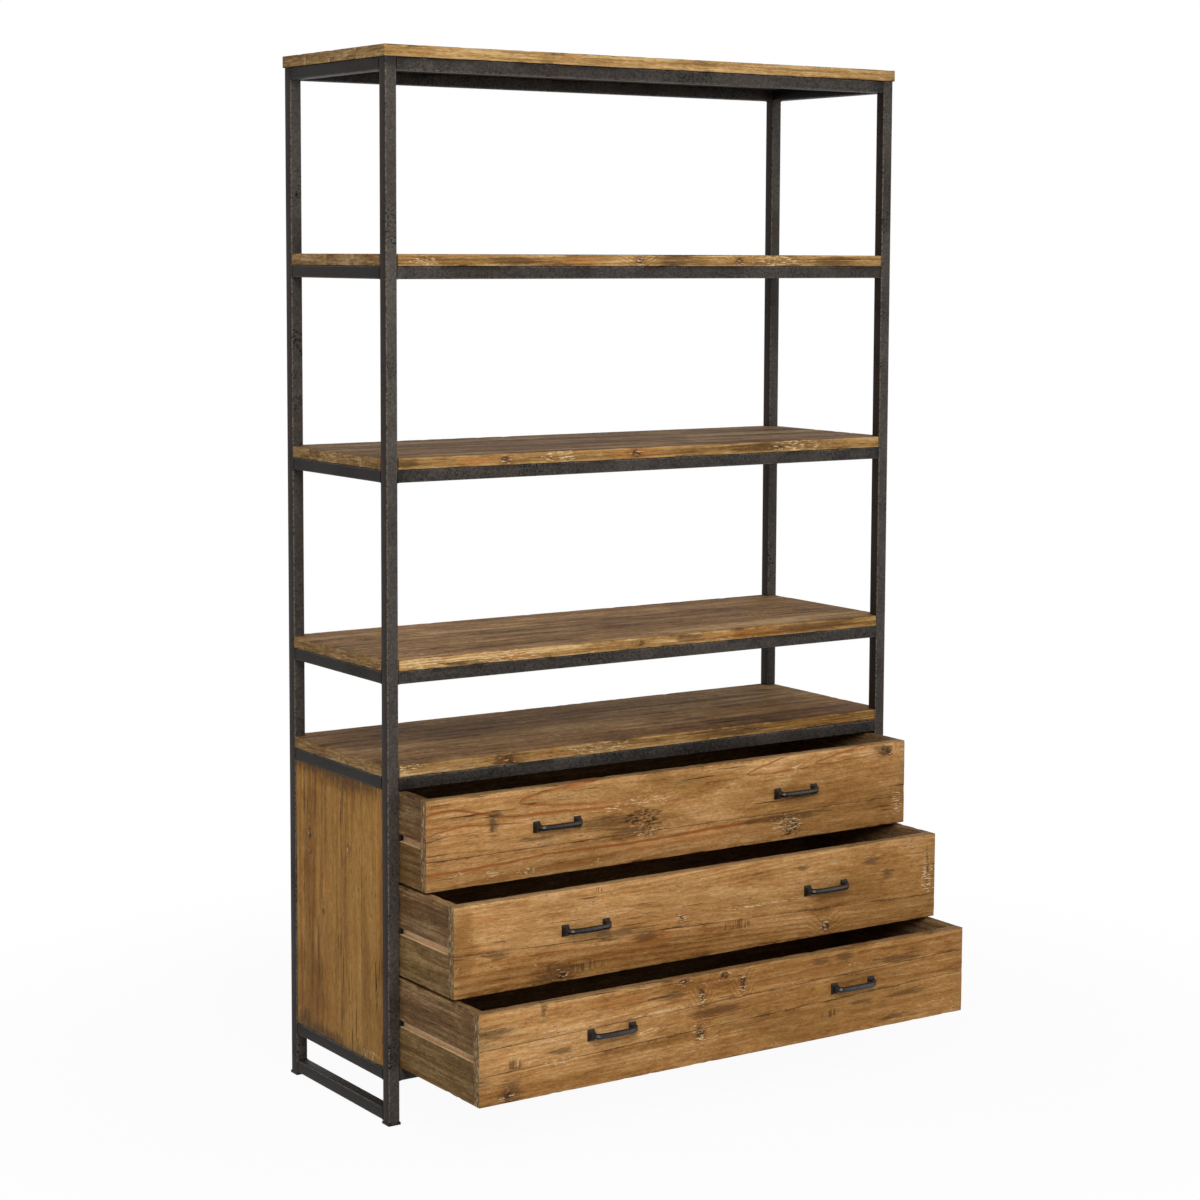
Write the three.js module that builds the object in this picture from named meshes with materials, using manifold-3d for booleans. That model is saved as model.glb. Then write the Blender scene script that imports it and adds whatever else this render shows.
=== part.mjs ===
// Bookcase with bottom drawers: a welded frame of square steel tube, five wooden boards, and a
// wooden case with three drawers that slide on steel runners. Millimetres, +X to the right,
// -Y towards the person in front, +Z up. The drawers stand open, each further than the one above.
import * as THREE from "three";
import { mergeVertices } from "three/addons/utils/BufferGeometryUtils.js";
import Module from "manifold-3d";

// Overall size
const FRAME_WIDTH = 1300;
const FRAME_DEPTH = 435;

// Square steel tube
const TUBE = 26;
const TUBE_WALL = 2;
const TUBE_CORNER_RADIUS = 3;
const TUBE_CORNER_STEPS = 2;
const FOOT_PLATE_THICKNESS = 6;
const FOOT_PLATE_MARGIN = 1.5;
const STRETCHER_FLOOR_GAP = 7;

// Boards, and the clear height of each bay from a shelf up to the rails above it
const BOARD_THICKNESS = 24;
const TOP_OVERHANG = 3;
const NOTCH_CLEARANCE = 1;
const BAY_1_HEIGHT = 363;
const BAY_2_HEIGHT = 358;
const BAY_3_HEIGHT = 359;
const BAY_4_HEIGHT = 167;

// Case round the drawers
const CASE_BOTTOM_HEIGHT = 118;
const SIDE_PANEL_THICKNESS = 18;
const BACK_PANEL_THICKNESS = 12;
const PANEL_RECESS = 2;
const PANEL_CLEARANCE = 0.5;

// Drawers
const DRAWER_HEIGHT = 187;
const DRAWER_GAP = 6;
const DRAWER_FLOOR_GAP = 1.5;
const DRAWER_TOP_GAP = 4.5;
const DRAWER_SIDE_CLEARANCE = 1.5;
const DRAWER_BACK_CLEARANCE = 4;
const FRONT_THICKNESS = 22;
const FRONT_CLOSED_GAP = 1;
const DRAWER_SIDE_THICKNESS = 20;
const DRAWER_BACK_THICKNESS = 16;
const DRAWER_BOTTOM_THICKNESS = 9;
const DRAWER_BOTTOM_LIFT = 8;
const DRAWER_1_OPENING = 84;
const DRAWER_2_OPENING = 193;
const DRAWER_3_OPENING = 289;
const DRAWER_OPENINGS = [DRAWER_1_OPENING, DRAWER_2_OPENING, DRAWER_3_OPENING];

// Runners and the grooves that slide on them
const RUNNER_HEIGHT = 13;
const RUNNER_DEPTH = 10;
const RUNNER_SETBACK = 0.5;
const GROOVE_CLEARANCE = 1.25;
const GROOVE_TOP_CLEARANCE = 0.25;
const CUT_OVERRUN = 5;

// Bow handles
const HANDLE_SPAN = 100;
const HANDLE_REACH = 27;
const HANDLE_BAR = 10;
const HANDLE_BAR_SIDES = 8;
const HANDLE_BAR_STEPS = 14;
const HANDLE_FOOT_WIDTH = 17;
const HANDLE_FOOT_HEIGHT = 24;
const HANDLE_FOOT_PAD = 3;
const HANDLE_FOOT_TAPER = 9;
const HANDLE_RISE = 11;
const HANDLE_PLACE_SHARE = 0.25;

// Worked out from the sizes above
const HALF_WIDTH = FRAME_WIDTH / 2;
const HALF_DEPTH = FRAME_DEPTH / 2;
const BAY_WIDTH = FRAME_WIDTH - 2 * TUBE;
const BAY_DEPTH = FRAME_DEPTH - 2 * TUBE;
const DRAWER_WIDTH = BAY_WIDTH - 2 * DRAWER_SIDE_CLEARANCE;
const DRAWER_PITCH = DRAWER_HEIGHT + DRAWER_GAP;
const DRAWER_STACK = DRAWER_OPENINGS.length * DRAWER_PITCH - DRAWER_GAP;
const CASE_TOP = CASE_BOTTOM_HEIGHT + DRAWER_FLOOR_GAP + DRAWER_STACK + DRAWER_TOP_GAP;
const SHELF_5_RAIL_TOP = CASE_TOP + TUBE;
const SHELF_4_RAIL_TOP = SHELF_5_RAIL_TOP + BOARD_THICKNESS + BAY_4_HEIGHT + TUBE;
const SHELF_3_RAIL_TOP = SHELF_4_RAIL_TOP + BOARD_THICKNESS + BAY_3_HEIGHT + TUBE;
const SHELF_2_RAIL_TOP = SHELF_3_RAIL_TOP + BOARD_THICKNESS + BAY_2_HEIGHT + TUBE;
const FRAME_TOP = SHELF_2_RAIL_TOP + BOARD_THICKNESS + BAY_1_HEIGHT + TUBE;
const DRAWER_LENGTH =
  FRAME_DEPTH + FRONT_CLOSED_GAP - PANEL_RECESS - BACK_PANEL_THICKNESS - DRAWER_BACK_CLEARANCE;
const DRAWER_INSIDE_WIDTH = DRAWER_WIDTH - 2 * DRAWER_SIDE_THICKNESS;
const DRAWER_INSIDE_LENGTH = DRAWER_LENGTH - DRAWER_BACK_THICKNESS;
const GROOVE_DEPTH = RUNNER_DEPTH - DRAWER_SIDE_CLEARANCE + GROOVE_CLEARANCE;
const GROOVE_HEIGHT = RUNNER_HEIGHT + GROOVE_TOP_CLEARANCE + GROOVE_CLEARANCE;
const RUNNER_LENGTH =
  FRAME_DEPTH - RUNNER_SETBACK - PANEL_RECESS - BACK_PANEL_THICKNESS - PANEL_CLEARANCE;
const FURTHEST_OPENING = Math.max(...DRAWER_OPENINGS);
const FOREMOST =
  HALF_DEPTH + FRONT_CLOSED_GAP + FURTHEST_OPENING + FRONT_THICKNESS + HANDLE_REACH;
const BACKMOST = HALF_DEPTH + TOP_OVERHANG;

const wasm = await Module();
wasm.setup();

// Materials
const steel = new THREE.MeshStandardMaterial({ color: 0x2b2826, roughness: 0.55, metalness: 0.8 });
const runnerSteel = new THREE.MeshStandardMaterial({ color: 0x151312, roughness: 0.5, metalness: 0.7 });
const castIron = new THREE.MeshStandardMaterial({ color: 0x1d1917, roughness: 0.35, metalness: 0.9 });
const shelfWood = new THREE.MeshStandardMaterial({ color: 0x8d7458, roughness: 0.8, metalness: 0 });
const panelWood = new THREE.MeshStandardMaterial({ color: 0xa9793f, roughness: 0.75, metalness: 0 });
const frontWood = new THREE.MeshStandardMaterial({ color: 0xa87a43, roughness: 0.75, metalness: 0 });
const drawerWood = new THREE.MeshStandardMaterial({ color: 0x4e3c2a, roughness: 0.85, metalness: 0 });

// A geometry's closed surface as a solid that can be joined and cut.
function solidOf(geometry) {
  const bare = geometry.clone();
  bare.deleteAttribute("normal");
  bare.deleteAttribute("uv");
  const merged = mergeVertices(bare);
  const mesh = new wasm.Mesh({
    numProp: 3,
    vertProperties: merged.attributes.position.array,
    triVerts: new Uint32Array(merged.index.array),
  });
  return new wasm.Manifold(mesh);
}

// The geometry of a joined or cut solid.
function geometryOf(solid) {
  const mesh = solid.getMesh();
  const geometry = new THREE.BufferGeometry();
  geometry.setAttribute("position", new THREE.BufferAttribute(mesh.vertProperties, 3));
  geometry.setIndex(new THREE.BufferAttribute(mesh.triVerts, 1));
  return geometry;
}

// One named piece at its place in its group.
function piece(group, name, geometry, material, x, y, z) {
  const mesh = new THREE.Mesh(geometry, material);
  mesh.name = name;
  mesh.position.set(x, y, z);
  group.add(mesh);
  return mesh;
}

// A board or bar that reaches from its own origin along +X, +Y and +Z.
function block(width, depth, height) {
  const geometry = new THREE.BoxGeometry(width, depth, height);
  geometry.translate(width / 2, depth / 2, height / 2);
  return geometry;
}

// A square outline with rounded corners round the origin.
function roundedSquare(side, radius) {
  const half = side / 2;
  const inner = half - radius;
  const shape = new THREE.Shape();
  shape.moveTo(half, inner);
  shape.absarc(inner, inner, radius, 0, Math.PI / 2, false);
  shape.absarc(-inner, inner, radius, Math.PI / 2, Math.PI, false);
  shape.absarc(-inner, -inner, radius, Math.PI, 1.5 * Math.PI, false);
  shape.absarc(inner, -inner, radius, 1.5 * Math.PI, 2 * Math.PI, false);
  return shape;
}

// A length of square tube, open at both ends, that stands on its origin.
function tube(length) {
  const bore = TUBE / 2 - TUBE_WALL;
  const section = roundedSquare(TUBE, TUBE_CORNER_RADIUS);
  const hole = new THREE.Path();
  hole.moveTo(-bore, -bore);
  hole.lineTo(-bore, bore);
  hole.lineTo(bore, bore);
  hole.lineTo(bore, -bore);
  hole.closePath();
  section.holes.push(hole);
  return new THREE.ExtrudeGeometry(section, {
    depth: length,
    bevelEnabled: false,
    curveSegments: TUBE_CORNER_STEPS,
  });
}

// A post with the foot plate that is welded under it.
function postGeometry() {
  const plateSide = TUBE + 2 * FOOT_PLATE_MARGIN;
  const plate = block(plateSide, plateSide, FOOT_PLATE_THICKNESS);
  plate.translate(-plateSide / 2, -plateSide / 2, 0);
  const shaft = tube(FRAME_TOP - FOOT_PLATE_THICKNESS);
  shaft.translate(0, 0, FOOT_PLATE_THICKNESS);
  return geometryOf(solidOf(plate).add(solidOf(shaft)));
}

// A board as wide and deep as the frame, with a notch round each post.
function notchedBoard() {
  const notch = TUBE + NOTCH_CLEARANCE;
  const shape = new THREE.Shape();
  shape.moveTo(-HALF_WIDTH + notch, -HALF_DEPTH);
  shape.lineTo(HALF_WIDTH - notch, -HALF_DEPTH);
  shape.lineTo(HALF_WIDTH - notch, -HALF_DEPTH + notch);
  shape.lineTo(HALF_WIDTH, -HALF_DEPTH + notch);
  shape.lineTo(HALF_WIDTH, HALF_DEPTH - notch);
  shape.lineTo(HALF_WIDTH - notch, HALF_DEPTH - notch);
  shape.lineTo(HALF_WIDTH - notch, HALF_DEPTH);
  shape.lineTo(-HALF_WIDTH + notch, HALF_DEPTH);
  shape.lineTo(-HALF_WIDTH + notch, HALF_DEPTH - notch);
  shape.lineTo(-HALF_WIDTH, HALF_DEPTH - notch);
  shape.lineTo(-HALF_WIDTH, -HALF_DEPTH + notch);
  shape.lineTo(-HALF_WIDTH + notch, -HALF_DEPTH + notch);
  shape.closePath();
  return new THREE.ExtrudeGeometry(shape, { depth: BOARD_THICKNESS, bevelEnabled: false });
}

// Posts, rails and floor stretchers
function addFrame(group) {
  const postX = HALF_WIDTH - TUBE / 2;
  const postY = HALF_DEPTH - TUBE / 2;
  const post = postGeometry();
  for (const [end, x] of [["left", -postX], ["right", postX]]) {
    piece(group, `front_${end}_post`, post, steel, x, -postY, 0);
    piece(group, `back_${end}_post`, post, steel, x, postY, 0);
  }
  const levels = [
    ["top", FRAME_TOP],
    ["shelf_2", SHELF_2_RAIL_TOP],
    ["shelf_3", SHELF_3_RAIL_TOP],
    ["shelf_4", SHELF_4_RAIL_TOP],
    ["shelf_5", SHELF_5_RAIL_TOP],
    ["bottom", CASE_BOTTOM_HEIGHT],
  ];
  const longRail = tube(BAY_WIDTH);
  const sideRail = tube(BAY_DEPTH);
  const startX = -BAY_WIDTH / 2;
  const startY = BAY_DEPTH / 2;
  for (const [level, railTop] of levels) {
    const z = railTop - TUBE / 2;
    for (const [side, y] of [["front", -postY], ["back", postY]]) {
      const rail = piece(group, `${level}_${side}_rail`, longRail, steel, startX, y, z);
      rail.rotation.y = Math.PI / 2;
    }
    for (const [side, x] of [["left", -postX], ["right", postX]]) {
      const rail = piece(group, `${level}_${side}_rail`, sideRail, steel, x, startY, z);
      rail.rotation.x = Math.PI / 2;
    }
  }
  for (const [side, x] of [["left", -postX], ["right", postX]]) {
    const z = STRETCHER_FLOOR_GAP + TUBE / 2;
    const stretcher = piece(group, `${side}_stretcher`, sideRail, steel, x, startY, z);
    stretcher.rotation.x = Math.PI / 2;
  }
}

// The top board over the frame, and the shelves on their rails
function addBoards(group) {
  const topWidth = FRAME_WIDTH + 2 * TOP_OVERHANG;
  const topDepth = FRAME_DEPTH + 2 * TOP_OVERHANG;
  const top = block(topWidth, topDepth, BOARD_THICKNESS);
  piece(group, "top_board", top, shelfWood, -topWidth / 2, -topDepth / 2, FRAME_TOP);
  const shelf = notchedBoard();
  piece(group, "shelf_2_board", shelf, shelfWood, 0, 0, SHELF_2_RAIL_TOP);
  piece(group, "shelf_3_board", shelf, shelfWood, 0, 0, SHELF_3_RAIL_TOP);
  piece(group, "shelf_4_board", shelf, shelfWood, 0, 0, SHELF_4_RAIL_TOP);
  piece(group, "shelf_5_board", shelf, shelfWood, 0, 0, SHELF_5_RAIL_TOP);
}

// The side and back panels of the case, between the posts and between the rails
function addCase(group) {
  const height = CASE_TOP - CASE_BOTTOM_HEIGHT;
  const side = block(SIDE_PANEL_THICKNESS, BAY_DEPTH - 2 * PANEL_CLEARANCE, height);
  const sideX = HALF_WIDTH - PANEL_RECESS;
  const sideY = -BAY_DEPTH / 2 + PANEL_CLEARANCE;
  const rightX = sideX - SIDE_PANEL_THICKNESS;
  piece(group, "left_side_panel", side, panelWood, -sideX, sideY, CASE_BOTTOM_HEIGHT);
  piece(group, "right_side_panel", side, panelWood, rightX, sideY, CASE_BOTTOM_HEIGHT);
  const back = block(BAY_WIDTH - 2 * PANEL_CLEARANCE, BACK_PANEL_THICKNESS, height);
  const backX = -BAY_WIDTH / 2 + PANEL_CLEARANCE;
  const backY = HALF_DEPTH - PANEL_RECESS - BACK_PANEL_THICKNESS;
  piece(group, "back_panel", back, panelWood, backX, backY, CASE_BOTTOM_HEIGHT);
}

// The height of a drawer's underside; drawer 1 is the top one.
function drawerBase(number) {
  const drawersBelow = DRAWER_OPENINGS.length - number;
  return CASE_BOTTOM_HEIGHT + DRAWER_FLOOR_GAP + drawersBelow * DRAWER_PITCH;
}

// A pair of runners for each drawer, on the inner faces of the posts
function addRunners(group) {
  const bar = block(RUNNER_DEPTH, RUNNER_LENGTH, RUNNER_HEIGHT);
  const y = -HALF_DEPTH + RUNNER_SETBACK;
  for (let number = 1; number <= DRAWER_OPENINGS.length; number++) {
    const z = drawerBase(number) + DRAWER_HEIGHT / 2 - RUNNER_HEIGHT / 2;
    piece(group, `left_runner_${number}`, bar, runnerSteel, -BAY_WIDTH / 2, y, z);
    piece(group, `right_runner_${number}`, bar, runnerSteel, BAY_WIDTH / 2 - RUNNER_DEPTH, y, z);
  }
}

// A drawer side with a groove along its outer face; outward is -1 for the left side and 1 for the right.
function drawerSide(outward) {
  const board = block(DRAWER_SIDE_THICKNESS, DRAWER_LENGTH, DRAWER_HEIGHT);
  const groove = block(GROOVE_DEPTH + CUT_OVERRUN, DRAWER_LENGTH + 2 * CUT_OVERRUN, GROOVE_HEIGHT);
  const x = outward < 0 ? -CUT_OVERRUN : DRAWER_SIDE_THICKNESS - GROOVE_DEPTH;
  const z = DRAWER_HEIGHT / 2 - RUNNER_HEIGHT / 2 - GROOVE_CLEARANCE;
  groove.translate(x, -CUT_OVERRUN, z);
  return solidOf(board).subtract(solidOf(groove));
}

// The two grooved sides and the back of a drawer, glued and nailed into one box. The back is
// housed in the sides as far as the floor of the groove.
function drawerBox() {
  const left = drawerSide(-1);
  const right = drawerSide(1).translate([DRAWER_WIDTH - DRAWER_SIDE_THICKNESS, 0, 0]);
  const back = block(DRAWER_WIDTH - 2 * GROOVE_DEPTH, DRAWER_BACK_THICKNESS, DRAWER_HEIGHT);
  back.translate(GROOVE_DEPTH, DRAWER_INSIDE_LENGTH, 0);
  return geometryOf(left.add(right).add(solidOf(back)));
}

// A cast handle foot: a square pad that tapers to the bar, with its back on y = 0
function handleFoot(x) {
  const pad = block(HANDLE_FOOT_WIDTH, HANDLE_FOOT_PAD, HANDLE_FOOT_HEIGHT);
  pad.translate(x - HANDLE_FOOT_WIDTH / 2, -HANDLE_FOOT_PAD, -HANDLE_FOOT_HEIGHT / 2);
  const taper = block(HANDLE_FOOT_WIDTH, HANDLE_FOOT_TAPER, HANDLE_FOOT_HEIGHT);
  taper.translate(-HANDLE_FOOT_WIDTH / 2, -HANDLE_FOOT_TAPER, -HANDLE_FOOT_HEIGHT / 2);
  const corners = taper.attributes.position;
  for (let i = 0; i < corners.count; i++) {
    if (corners.getY(i) < 0) {
      corners.setX(i, Math.sign(corners.getX(i)) * HANDLE_BAR / 2);
      corners.setZ(i, Math.sign(corners.getZ(i)) * HANDLE_BAR / 2);
    }
  }
  taper.translate(x, -HANDLE_FOOT_PAD, 0);
  return solidOf(pad).add(solidOf(taper));
}

// The bar's centre line, as shares of half the span and of how far its middle reaches out
const HANDLE_LINE_SHARES = [
  [-1, 0.25],
  [-0.93, 0.62],
  [-0.76, 0.86],
  [-0.4, 0.97],
  [0, 1],
  [0.4, 0.97],
  [0.76, 0.86],
  [0.93, 0.62],
  [1, 0.25],
];

// A bow handle: a bent bar of eight flats between two feet
function handleGeometry() {
  const reach = HANDLE_REACH - HANDLE_BAR / 2;
  const points = HANDLE_LINE_SHARES.map(
    ([along, out]) => new THREE.Vector3((along * HANDLE_SPAN) / 2, -out * reach, 0),
  );
  const section = new THREE.Shape();
  const flatTurn = Math.PI / HANDLE_BAR_SIDES;
  const radius = HANDLE_BAR / 2 / Math.cos(flatTurn);
  for (let i = 0; i < HANDLE_BAR_SIDES; i++) {
    const angle = flatTurn + 2 * flatTurn * i;
    if (i === 0) section.moveTo(radius * Math.cos(angle), radius * Math.sin(angle));
    else section.lineTo(radius * Math.cos(angle), radius * Math.sin(angle));
  }
  section.closePath();
  const bar = new THREE.ExtrudeGeometry(section, {
    steps: HANDLE_BAR_STEPS,
    extrudePath: new THREE.CatmullRomCurve3(points),
  });
  const left = handleFoot(-HANDLE_SPAN / 2);
  const right = handleFoot(HANDLE_SPAN / 2);
  return geometryOf(solidOf(bar).add(left).add(right));
}

// A drawer pulled out of the case. Its own origin is the lower left corner of the box, on the back
// face of the front board.
function addDrawer(group, number) {
  const drawer = new THREE.Group();
  const y = -HALF_DEPTH - FRONT_CLOSED_GAP - DRAWER_OPENINGS[number - 1];
  drawer.position.set(-DRAWER_WIDTH / 2, y, drawerBase(number));
  group.add(drawer);
  const front = block(DRAWER_WIDTH, FRONT_THICKNESS, DRAWER_HEIGHT);
  piece(drawer, `drawer_${number}_front`, front, frontWood, 0, -FRONT_THICKNESS, 0);
  piece(drawer, `drawer_${number}_box`, drawerBox(), drawerWood, 0, 0, 0);
  const bottom = block(DRAWER_INSIDE_WIDTH, DRAWER_INSIDE_LENGTH, DRAWER_BOTTOM_THICKNESS);
  const bottomX = DRAWER_SIDE_THICKNESS;
  piece(drawer, `drawer_${number}_bottom`, bottom, drawerWood, bottomX, 0, DRAWER_BOTTOM_LIFT);
  const handle = handleGeometry();
  const handleZ = DRAWER_HEIGHT / 2 + HANDLE_RISE;
  const leftX = DRAWER_WIDTH * HANDLE_PLACE_SHARE;
  const rightX = DRAWER_WIDTH - leftX;
  piece(drawer, `drawer_${number}_left_handle`, handle, castIron, leftX, -FRONT_THICKNESS, handleZ);
  piece(drawer, `drawer_${number}_right_handle`, handle, castIron, rightX, -FRONT_THICKNESS, handleZ);
}

// The origin is at floor level, in the middle of the whole width and depth with the drawers open.
const bookcase = new THREE.Group();
const body = new THREE.Group();
body.position.y = (FOREMOST - BACKMOST) / 2;
bookcase.add(body);
addFrame(body);
addBoards(body);
addCase(body);
addRunners(body);
for (let number = 1; number <= DRAWER_OPENINGS.length; number++) addDrawer(body, number);

export default bookcase;
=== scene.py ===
"""Bookcase with bottom drawers: the looks of its steel tubes, old pine boards, drawers and handles.

Lengths are in metres, +X to the right, -Y towards the person in front, +Z up. Each wooden board
is a set of planks, and each plank keeps four attributes that its wood is drawn from: place, from
-1 to 1 along the grain, across it and through the thickness; half, half the plank's size in that
order; shift, which gives every plank a grain of its own; and board, the way from the board's middle.
"""
import math
import random

import bmesh
import bpy
import numpy as np
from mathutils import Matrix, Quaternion, Vector


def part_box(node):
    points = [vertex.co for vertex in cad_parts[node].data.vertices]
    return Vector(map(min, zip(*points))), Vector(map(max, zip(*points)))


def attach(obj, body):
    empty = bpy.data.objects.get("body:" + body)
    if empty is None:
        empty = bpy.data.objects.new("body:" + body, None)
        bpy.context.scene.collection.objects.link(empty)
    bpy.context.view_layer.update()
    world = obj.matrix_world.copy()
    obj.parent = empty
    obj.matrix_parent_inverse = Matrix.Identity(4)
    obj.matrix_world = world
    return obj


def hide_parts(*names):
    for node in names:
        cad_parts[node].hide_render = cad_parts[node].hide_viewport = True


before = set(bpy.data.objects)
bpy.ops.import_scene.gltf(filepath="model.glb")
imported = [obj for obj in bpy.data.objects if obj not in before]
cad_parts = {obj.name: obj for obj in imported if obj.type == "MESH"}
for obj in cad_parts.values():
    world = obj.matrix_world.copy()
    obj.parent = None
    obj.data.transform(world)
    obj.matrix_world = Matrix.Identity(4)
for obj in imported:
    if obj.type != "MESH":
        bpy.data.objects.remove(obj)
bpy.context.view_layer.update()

# Camera: where it stands and looks, and what it shows of a frame of 1200 x 1200
CAMERA_PLACE = (-3.2251, -4.6752, 1.7850)
CAMERA_AZIMUTH = math.radians(-33.7354)
CAMERA_ELEVATION = math.radians(5.4572)
CAMERA_ROLL = math.radians(0.2281)
FRAME_PIXELS = 1200
FOCAL_PIXELS = 2645.916
HORIZON_PIXEL = 505.594
SENSOR_WIDTH = 36.0

# Grain directions: the axes along the grain, across it and through the thickness
LONG_FLAT = (0, 1, 2)
LONG_UPRIGHT = (0, 2, 1)
UPRIGHT_SIDE = (2, 1, 0)
UPRIGHT_BACK = (2, 0, 1)
DEEP_UPRIGHT = (1, 2, 0)
TUBE_GRAIN = {0: (0, 2, 1), 1: (1, 0, 2), 2: (2, 0, 1)}

# Wear and joints
ARRIS = 0.0012
ARRIS_STEPS = 2
CUT_ALONG = 0.011
CUT_ACROSS = 0.010
WEAR = 0.0004
WEAR_SIZE = 0.028
SEAM_SHARE = 0.9
CHIP_EVERY = 0.09
CHIP_LENGTH = (0.003, 0.014)
CHIP_DEPTH = (0.0003, 0.0010)
CHIP_REACH = 0.0026
CHIP_THROUGH_SHARE = 0.7
TUBE_RADIUS = 0.003
TUBE_RADIUS_STEPS = 4
FOOT_HEIGHT = 0.006
WELD_WIDTH = 0.0035
WELD_CUTS = 8
WELD_PROUD = 0.0005
WELD_WEAR = 0.0008
WELD_WEAR_SIZE = 0.004
SHIFT_RANGE = 40.0
NOTCH_SLACK = 0.001
GROOVE_SLACK = 0.0012
REACH_PAST = 0.01
SMOOTH_BELOW = 35
TUBE_SMOOTH_BELOW = 50
HANDLE_SMOOTH_BELOW = 40

# How the boards are glued up from planks, as shares of the width across the grain.
# A pair gives a seam that runs askew: its share at the start of the grain and at its end.
TOP_SHARES = (0.0, 0.27, 0.52, 0.76, 1.0)
SHELF_SHARES = {
    "shelf_2_board": (0.0, 0.31, 0.58, 1.0),
    "shelf_3_board": (0.0, 0.24, 0.49, 0.77, 1.0),
    "shelf_4_board": (0.0, 0.29, 0.63, 1.0),
    "shelf_5_board": (0.0, 0.22, 0.47, 0.71, 1.0),
}
SIDE_PANEL_SHARES = (0.0, 0.236, 0.47, 0.686, 0.906, 1.0)
BACK_PLANKS = 9
BACK_PANEL_SHARES = tuple(number / BACK_PLANKS for number in range(BACK_PLANKS + 1))
BOTTOM_SHARES = (0.0, 0.33, 0.68, 1.0)
FRONT_SHARES = {
    "drawer_1_front": (0.0, 0.33, 1.0),
    "drawer_2_front": (0.0, (0.46, 0.27), 1.0),
    "drawer_3_front": (0.0, (0.32, 0.48), (0.60, 0.74), 1.0),
}

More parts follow.
